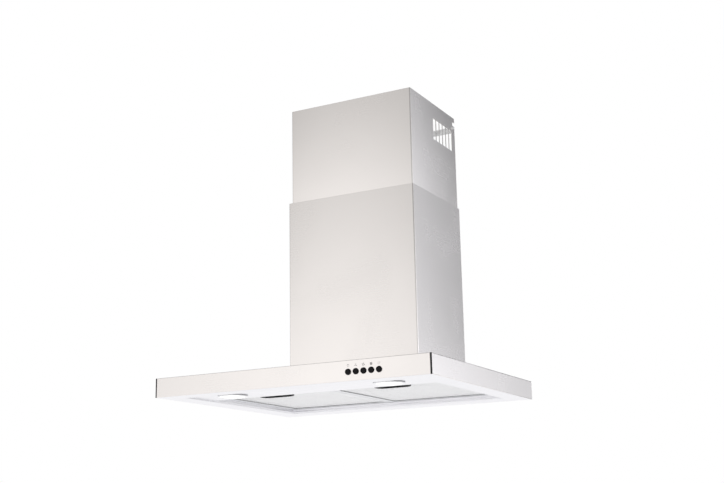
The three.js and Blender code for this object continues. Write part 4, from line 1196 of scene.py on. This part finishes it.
capacitorSettings = {"centre": (-84.5, -16.3, 0.0), "levels": (177.3, 229.3), "radius": 15.0, "round": 1.4}
cableSettings = {
    "steps": 10, "capAngle": 60, "ringSteps": 3,
    # Name, CAD node, radius and route of each lead.
    "leads": (
        ("switchHarness", "switch_harness", 3.0, (
            (133.8, -464.1, -2.3), (133.8, -458.7, -2.3), (128.8, -416, -0.7), (114, -378, 9),
            (102, -226, 11), (102, -146, 14), (102, -114, 39), (102, -106, 79), (102, -106, 235.9))),
        ("driverLead", "driver_lead", 1.6, (
            (27.5, -381.4, 9.7), (27.5, -374, 9.7), (82.4, -196, 9.7), (96.4, -156, 17), (96.4, -118, 49),
            (96.4, -110, 79), (96.4, -106, 227.7))),
        ("lampLead_left", "lamp_lead_left", 1.6, (
            (-145.4, -416, 9.7), (-138, -416, 9.7), (-63, -401, 9.7), (-55.6, -401, 9.7))),
        ("lampLead_right", "lamp_lead_right", 1.6, (
            (145.4, -416, 9.7), (138, -416, 9.7), (63, -401, 9.7), (55.6, -401, 9.7))),
    ),
}


# A smooth curve through points, spaced by the square root of their distances.
def curvedPath(points, steps):
    points = [Vector(point) for point in points]
    points = [2 * points[0] - points[1]] + points + [2 * points[-1] - points[-2]]

    def between(a, b, first, second, t):
        return (first * (b - t) + second * (t - a)) / (b - a)

    path = []
    for i in range(1, len(points) - 2):
        four = points[i - 1:i + 3]
        knots = [0.0]
        for first, second in zip(four, four[1:]):
            knots.append(knots[-1] + (second - first).length ** 0.5)
        for step in range(steps):
            t = knots[1] + (knots[2] - knots[1]) * step / steps
            line = [between(knots[k], knots[k + 1], four[k], four[k + 1], t) for k in range(3)]
            bend = [between(knots[k], knots[k + 2], line[k], line[k + 1], t) for k in range(2)]
            path.append(between(knots[1], knots[2], bend[0], bend[1], t))
    return path + [points[-2]]


def cableMesh(look, radius, points):
    path = curvedPath(points, look["steps"])
    curve = bpy.data.curves.new("cable", "CURVE")
    curve.dimensions = "3D"
    spline = curve.splines.new("POLY")
    spline.points.add(len(path) - 1)
    for target, point in zip(spline.points, path):
        target.co = (*(point * mm), 1)
    curve.bevel_depth = radius * mm
    curve.bevel_resolution = look["ringSteps"]
    curve.use_fill_caps = True
    work = bmesh.new()
    work.from_mesh(bakedMesh(objectFor(curve)))
    bmesh.ops.remove_doubles(work, verts=work.verts, dist=0.001 * mm)
    mesh = meshFrom(work)
    mesh.set_sharp_from_angle(angle=math.radians(look["capAngle"]))
    return mesh


def makeCapacitor(look):
    (low, high), radius = look["levels"], look["radius"]
    can = roundedOutline([(0, low), (radius, low), (radius, high), (0, high)], look["round"], closed=False)
    mesh = turnedMesh(can, "z", look["centre"], 48)
    addPiece("motorCapacitor", mesh, "whitePlastic", "hood_body", "capacitor")


makeOutlet(outletSettings)
makeWheel(wheelSettings)
makeMotor(wheelSettings)
makeDampers(damperSettings)
makeCapacitor(capacitorSettings)
for material, edge, narrow, names in plainNodes:
    for node in names:
        addSoftened(node, material, "hood_body", edge, narrow)
for name, node, radius, points in cableSettings["leads"]:
    addPiece(name, cableMesh(cableSettings, radius, points), "cableSheath", "hood_body", node)
print("blower and wiring made")


# Each fade is given as where it starts and ends, and its value there.
studioSettings = {
    "floorLevel": -1.62, "floorHalf": 6.0, "floorColor": (0.9, 0.9, 0.9), "floorRoughness": 0.7,
    "ambient": 0.75, "aim": (0, -0.25, 0.2),
    # Name, place, size, power and colour of each lamp.
    "lamps": (
        ("keyLamp", (-2.6, -3.4, 2.4), 2.2, 60.0, (1.0, 0.985, 0.965)),
        ("fillLamp", (3.2, -1.2, 1.6), 2.0, 28.0, (0.985, 0.99, 1.0)),
        ("lowLamp", (-0.6, -2.6, -1.3), 1.6, 14.0, (0.985, 0.985, 1.0)),
    ),
    # How bright the room is, from straight down at -1 to straight up at 1.
    "sky": ((-1.0, 0.96), (-0.12, 1.0), (0.0, 1.06), (0.14, 1.05), (0.22, 1.0), (0.28, 0.95), (0.34, 0.80),
            (0.40, 0.66), (0.46, 0.55), (1.0, 0.42)),
    "panelTurn": 29.5, "panelSharpness": 120.0, "panelGlow": 0.58, "frontBase": 0.72,
    "backFade": (0.36, 0.46, 0.05, 1.29), "farFade": (-0.55, -0.8, 0.22, 0.9),
    "backLift": (0.11, 0.17, 1.62, 1.0), "behindEdge": (0.05, 0.35, 0.0, 1.0),
    "lowFade": (-0.25, 0.05, 1.05, 0.6), "lowEdge": (0.0, 0.04, 1.0, 0.0),
    "warm": (1.0, 0.985, 0.973), "cool": (0.95, 0.96, 1.0), "lowTint": (0.99, 0.985, 1.0),
}


def mixShaders(tree, factor, first, second):
    return addNode(tree, "ShaderNodeMixShader", inputs={0: factor, 1: first, 2: second}).outputs[0]


# Two masks: what the camera sees, and what metal and glass show.
def raysSeen(tree):
    path = tree.nodes.new("ShaderNodeLightPath").outputs
    return path["Is Camera Ray"], calc(tree, "MAXIMUM", path["Is Glossy Ray"], path["Is Transmission Ray"])


# White behind the hood. Metal mirrors a room that is brightest near the horizon, with a glowing panel in
# front, and fades behind and below.
def makeWorld(look):
    world = bpy.data.worlds.new("studioWorld")
    scene.world = world
    world.use_nodes = True
    tree = world.node_tree
    tree.nodes.clear()
    direction = tree.nodes.new("ShaderNodeTexCoord").outputs["Generated"]
    height = splitVector(tree, direction)[2]
    ramp = addNode(tree, "ShaderNodeValToRGB", inputs={0: stretch(tree, height, -1.0, 1.0, 0.0, 1.0)})
    stops = ramp.color_ramp.elements
    brightest = max(value for rise, value in look["sky"])
    while len(stops) < len(look["sky"]):
        stops.new(0.5)
    for stop, (rise, value) in zip(stops, look["sky"]):
        stop.position = (rise + 1) / 2
        stop.color = (*[value / brightest] * 3, 1)

    heading = vectorCalc(tree, "NORMALIZE", vectorCalc(tree, "MULTIPLY", direction, (1, 1, 0)))
    toRight, toWall = splitVector(tree, heading)[:2]
    turn = math.radians(look["panelTurn"])
    toPanel = (-math.sin(turn), -math.cos(turn), 0)
    facing = vectorCalc(tree, "DOT_PRODUCT", heading, toPanel, output="Value")
    panel = calc(tree, "POWER", calc(tree, "MAXIMUM", facing, 0.0), look["panelSharpness"])
    front = calc(tree, "MULTIPLY_ADD", panel, look["panelGlow"], look["frontBase"])
    backFade = stretch(tree, toRight, *look["backFade"])
    back = calc(tree, "MAXIMUM", backFade, stretch(tree, toRight, *look["farFade"]))
    back = calc(tree, "MULTIPLY", back, stretch(tree, height, *look["backLift"]))
    behind = stretch(tree, toWall, *look["behindEdge"])
    low = stretch(tree, height, *look["lowEdge"])
    value = mixColors(tree, behind, front, back)
    value = mixColors(tree, low, value, stretch(tree, toRight, *look["lowFade"]))
    tint = mixColors(tree, low, mixColors(tree, behind, look["warm"], look["cool"]), look["lowTint"])
    room = vectorCalc(tree, "MULTIPLY", vectorCalc(tree, "MULTIPLY", ramp.outputs[0], value), tint)

    white = (1, 1, 1, 1)
    mirrored, ambient, plain = (
        addNode(tree, "ShaderNodeBackground", inputs={"Color": color, "Strength": strength}).outputs[0]
        for color, strength in ((room, brightest), (white, look["ambient"]), (white, 1.0)))
    cameraRay, mirrorRay = raysSeen(tree)
    shown = mixShaders(tree, cameraRay, mixShaders(tree, mirrorRay, ambient, mirrored), plain)
    output = tree.nodes.new("ShaderNodeOutputWorld")
    tree.links.new(shown, output.inputs["Surface"])


# A plain floor, far below the hood, that can't be seen from underneath.
def makeFloor(look):
    work = bmesh.new()
    bmesh.ops.create_grid(work, x_segments=1, y_segments=1, size=look["floorHalf"])
    work.transform(Matrix.Translation((0, 0, look["floorLevel"])))
    floor = objectFor(meshFrom(work))
    floor.name = "studioFloor"
    rough = look["floorRoughness"]
    material, tree, shader, coords = newMaterial("floorWhite", look["floorColor"], 0.0, rough)
    paint = tree.nodes["Principled BSDF"].outputs[0]
    white = addNode(tree, "ShaderNodeEmission", inputs={"Color": (1, 1, 1, 1), "Strength": 1.0}).outputs[0]
    cameraRay, mirrorRay = raysSeen(tree)
    above = mixShaders(tree, calc(tree, "MAXIMUM", mirrorRay, cameraRay), paint, white)
    underneath = tree.nodes.new("ShaderNodeNewGeometry").outputs["Backfacing"]
    clear = tree.nodes.new("ShaderNodeBsdfTransparent").outputs[0]
    shown = mixShaders(tree, underneath, above, clear)
    tree.links.new(shown, tree.nodes["Material Output"].inputs["Surface"])
    floor.data.materials.append(material)


# Disk lamps that metal doesn't mirror.
def makeLightSources(look):
    for name, place, size, power, color in look["lamps"]:
        data = bpy.data.lights.new(name, "AREA")
        data.shape = "DISK"
        data.size = size
        data.energy = power
        data.color = color
        source = bpy.data.objects.new(name, data)
        source.location = place
        source.visible_glossy = False
        source.rotation_mode = "QUATERNION"
        source.rotation_quaternion = (Vector(look["aim"]) - Vector(place)).to_track_quat("-Z", "Y")
        scene.collection.objects.link(source)


makeWorld(studioSettings)
makeFloor(studioSettings)
makeLightSources(studioSettings)
print("studio made")
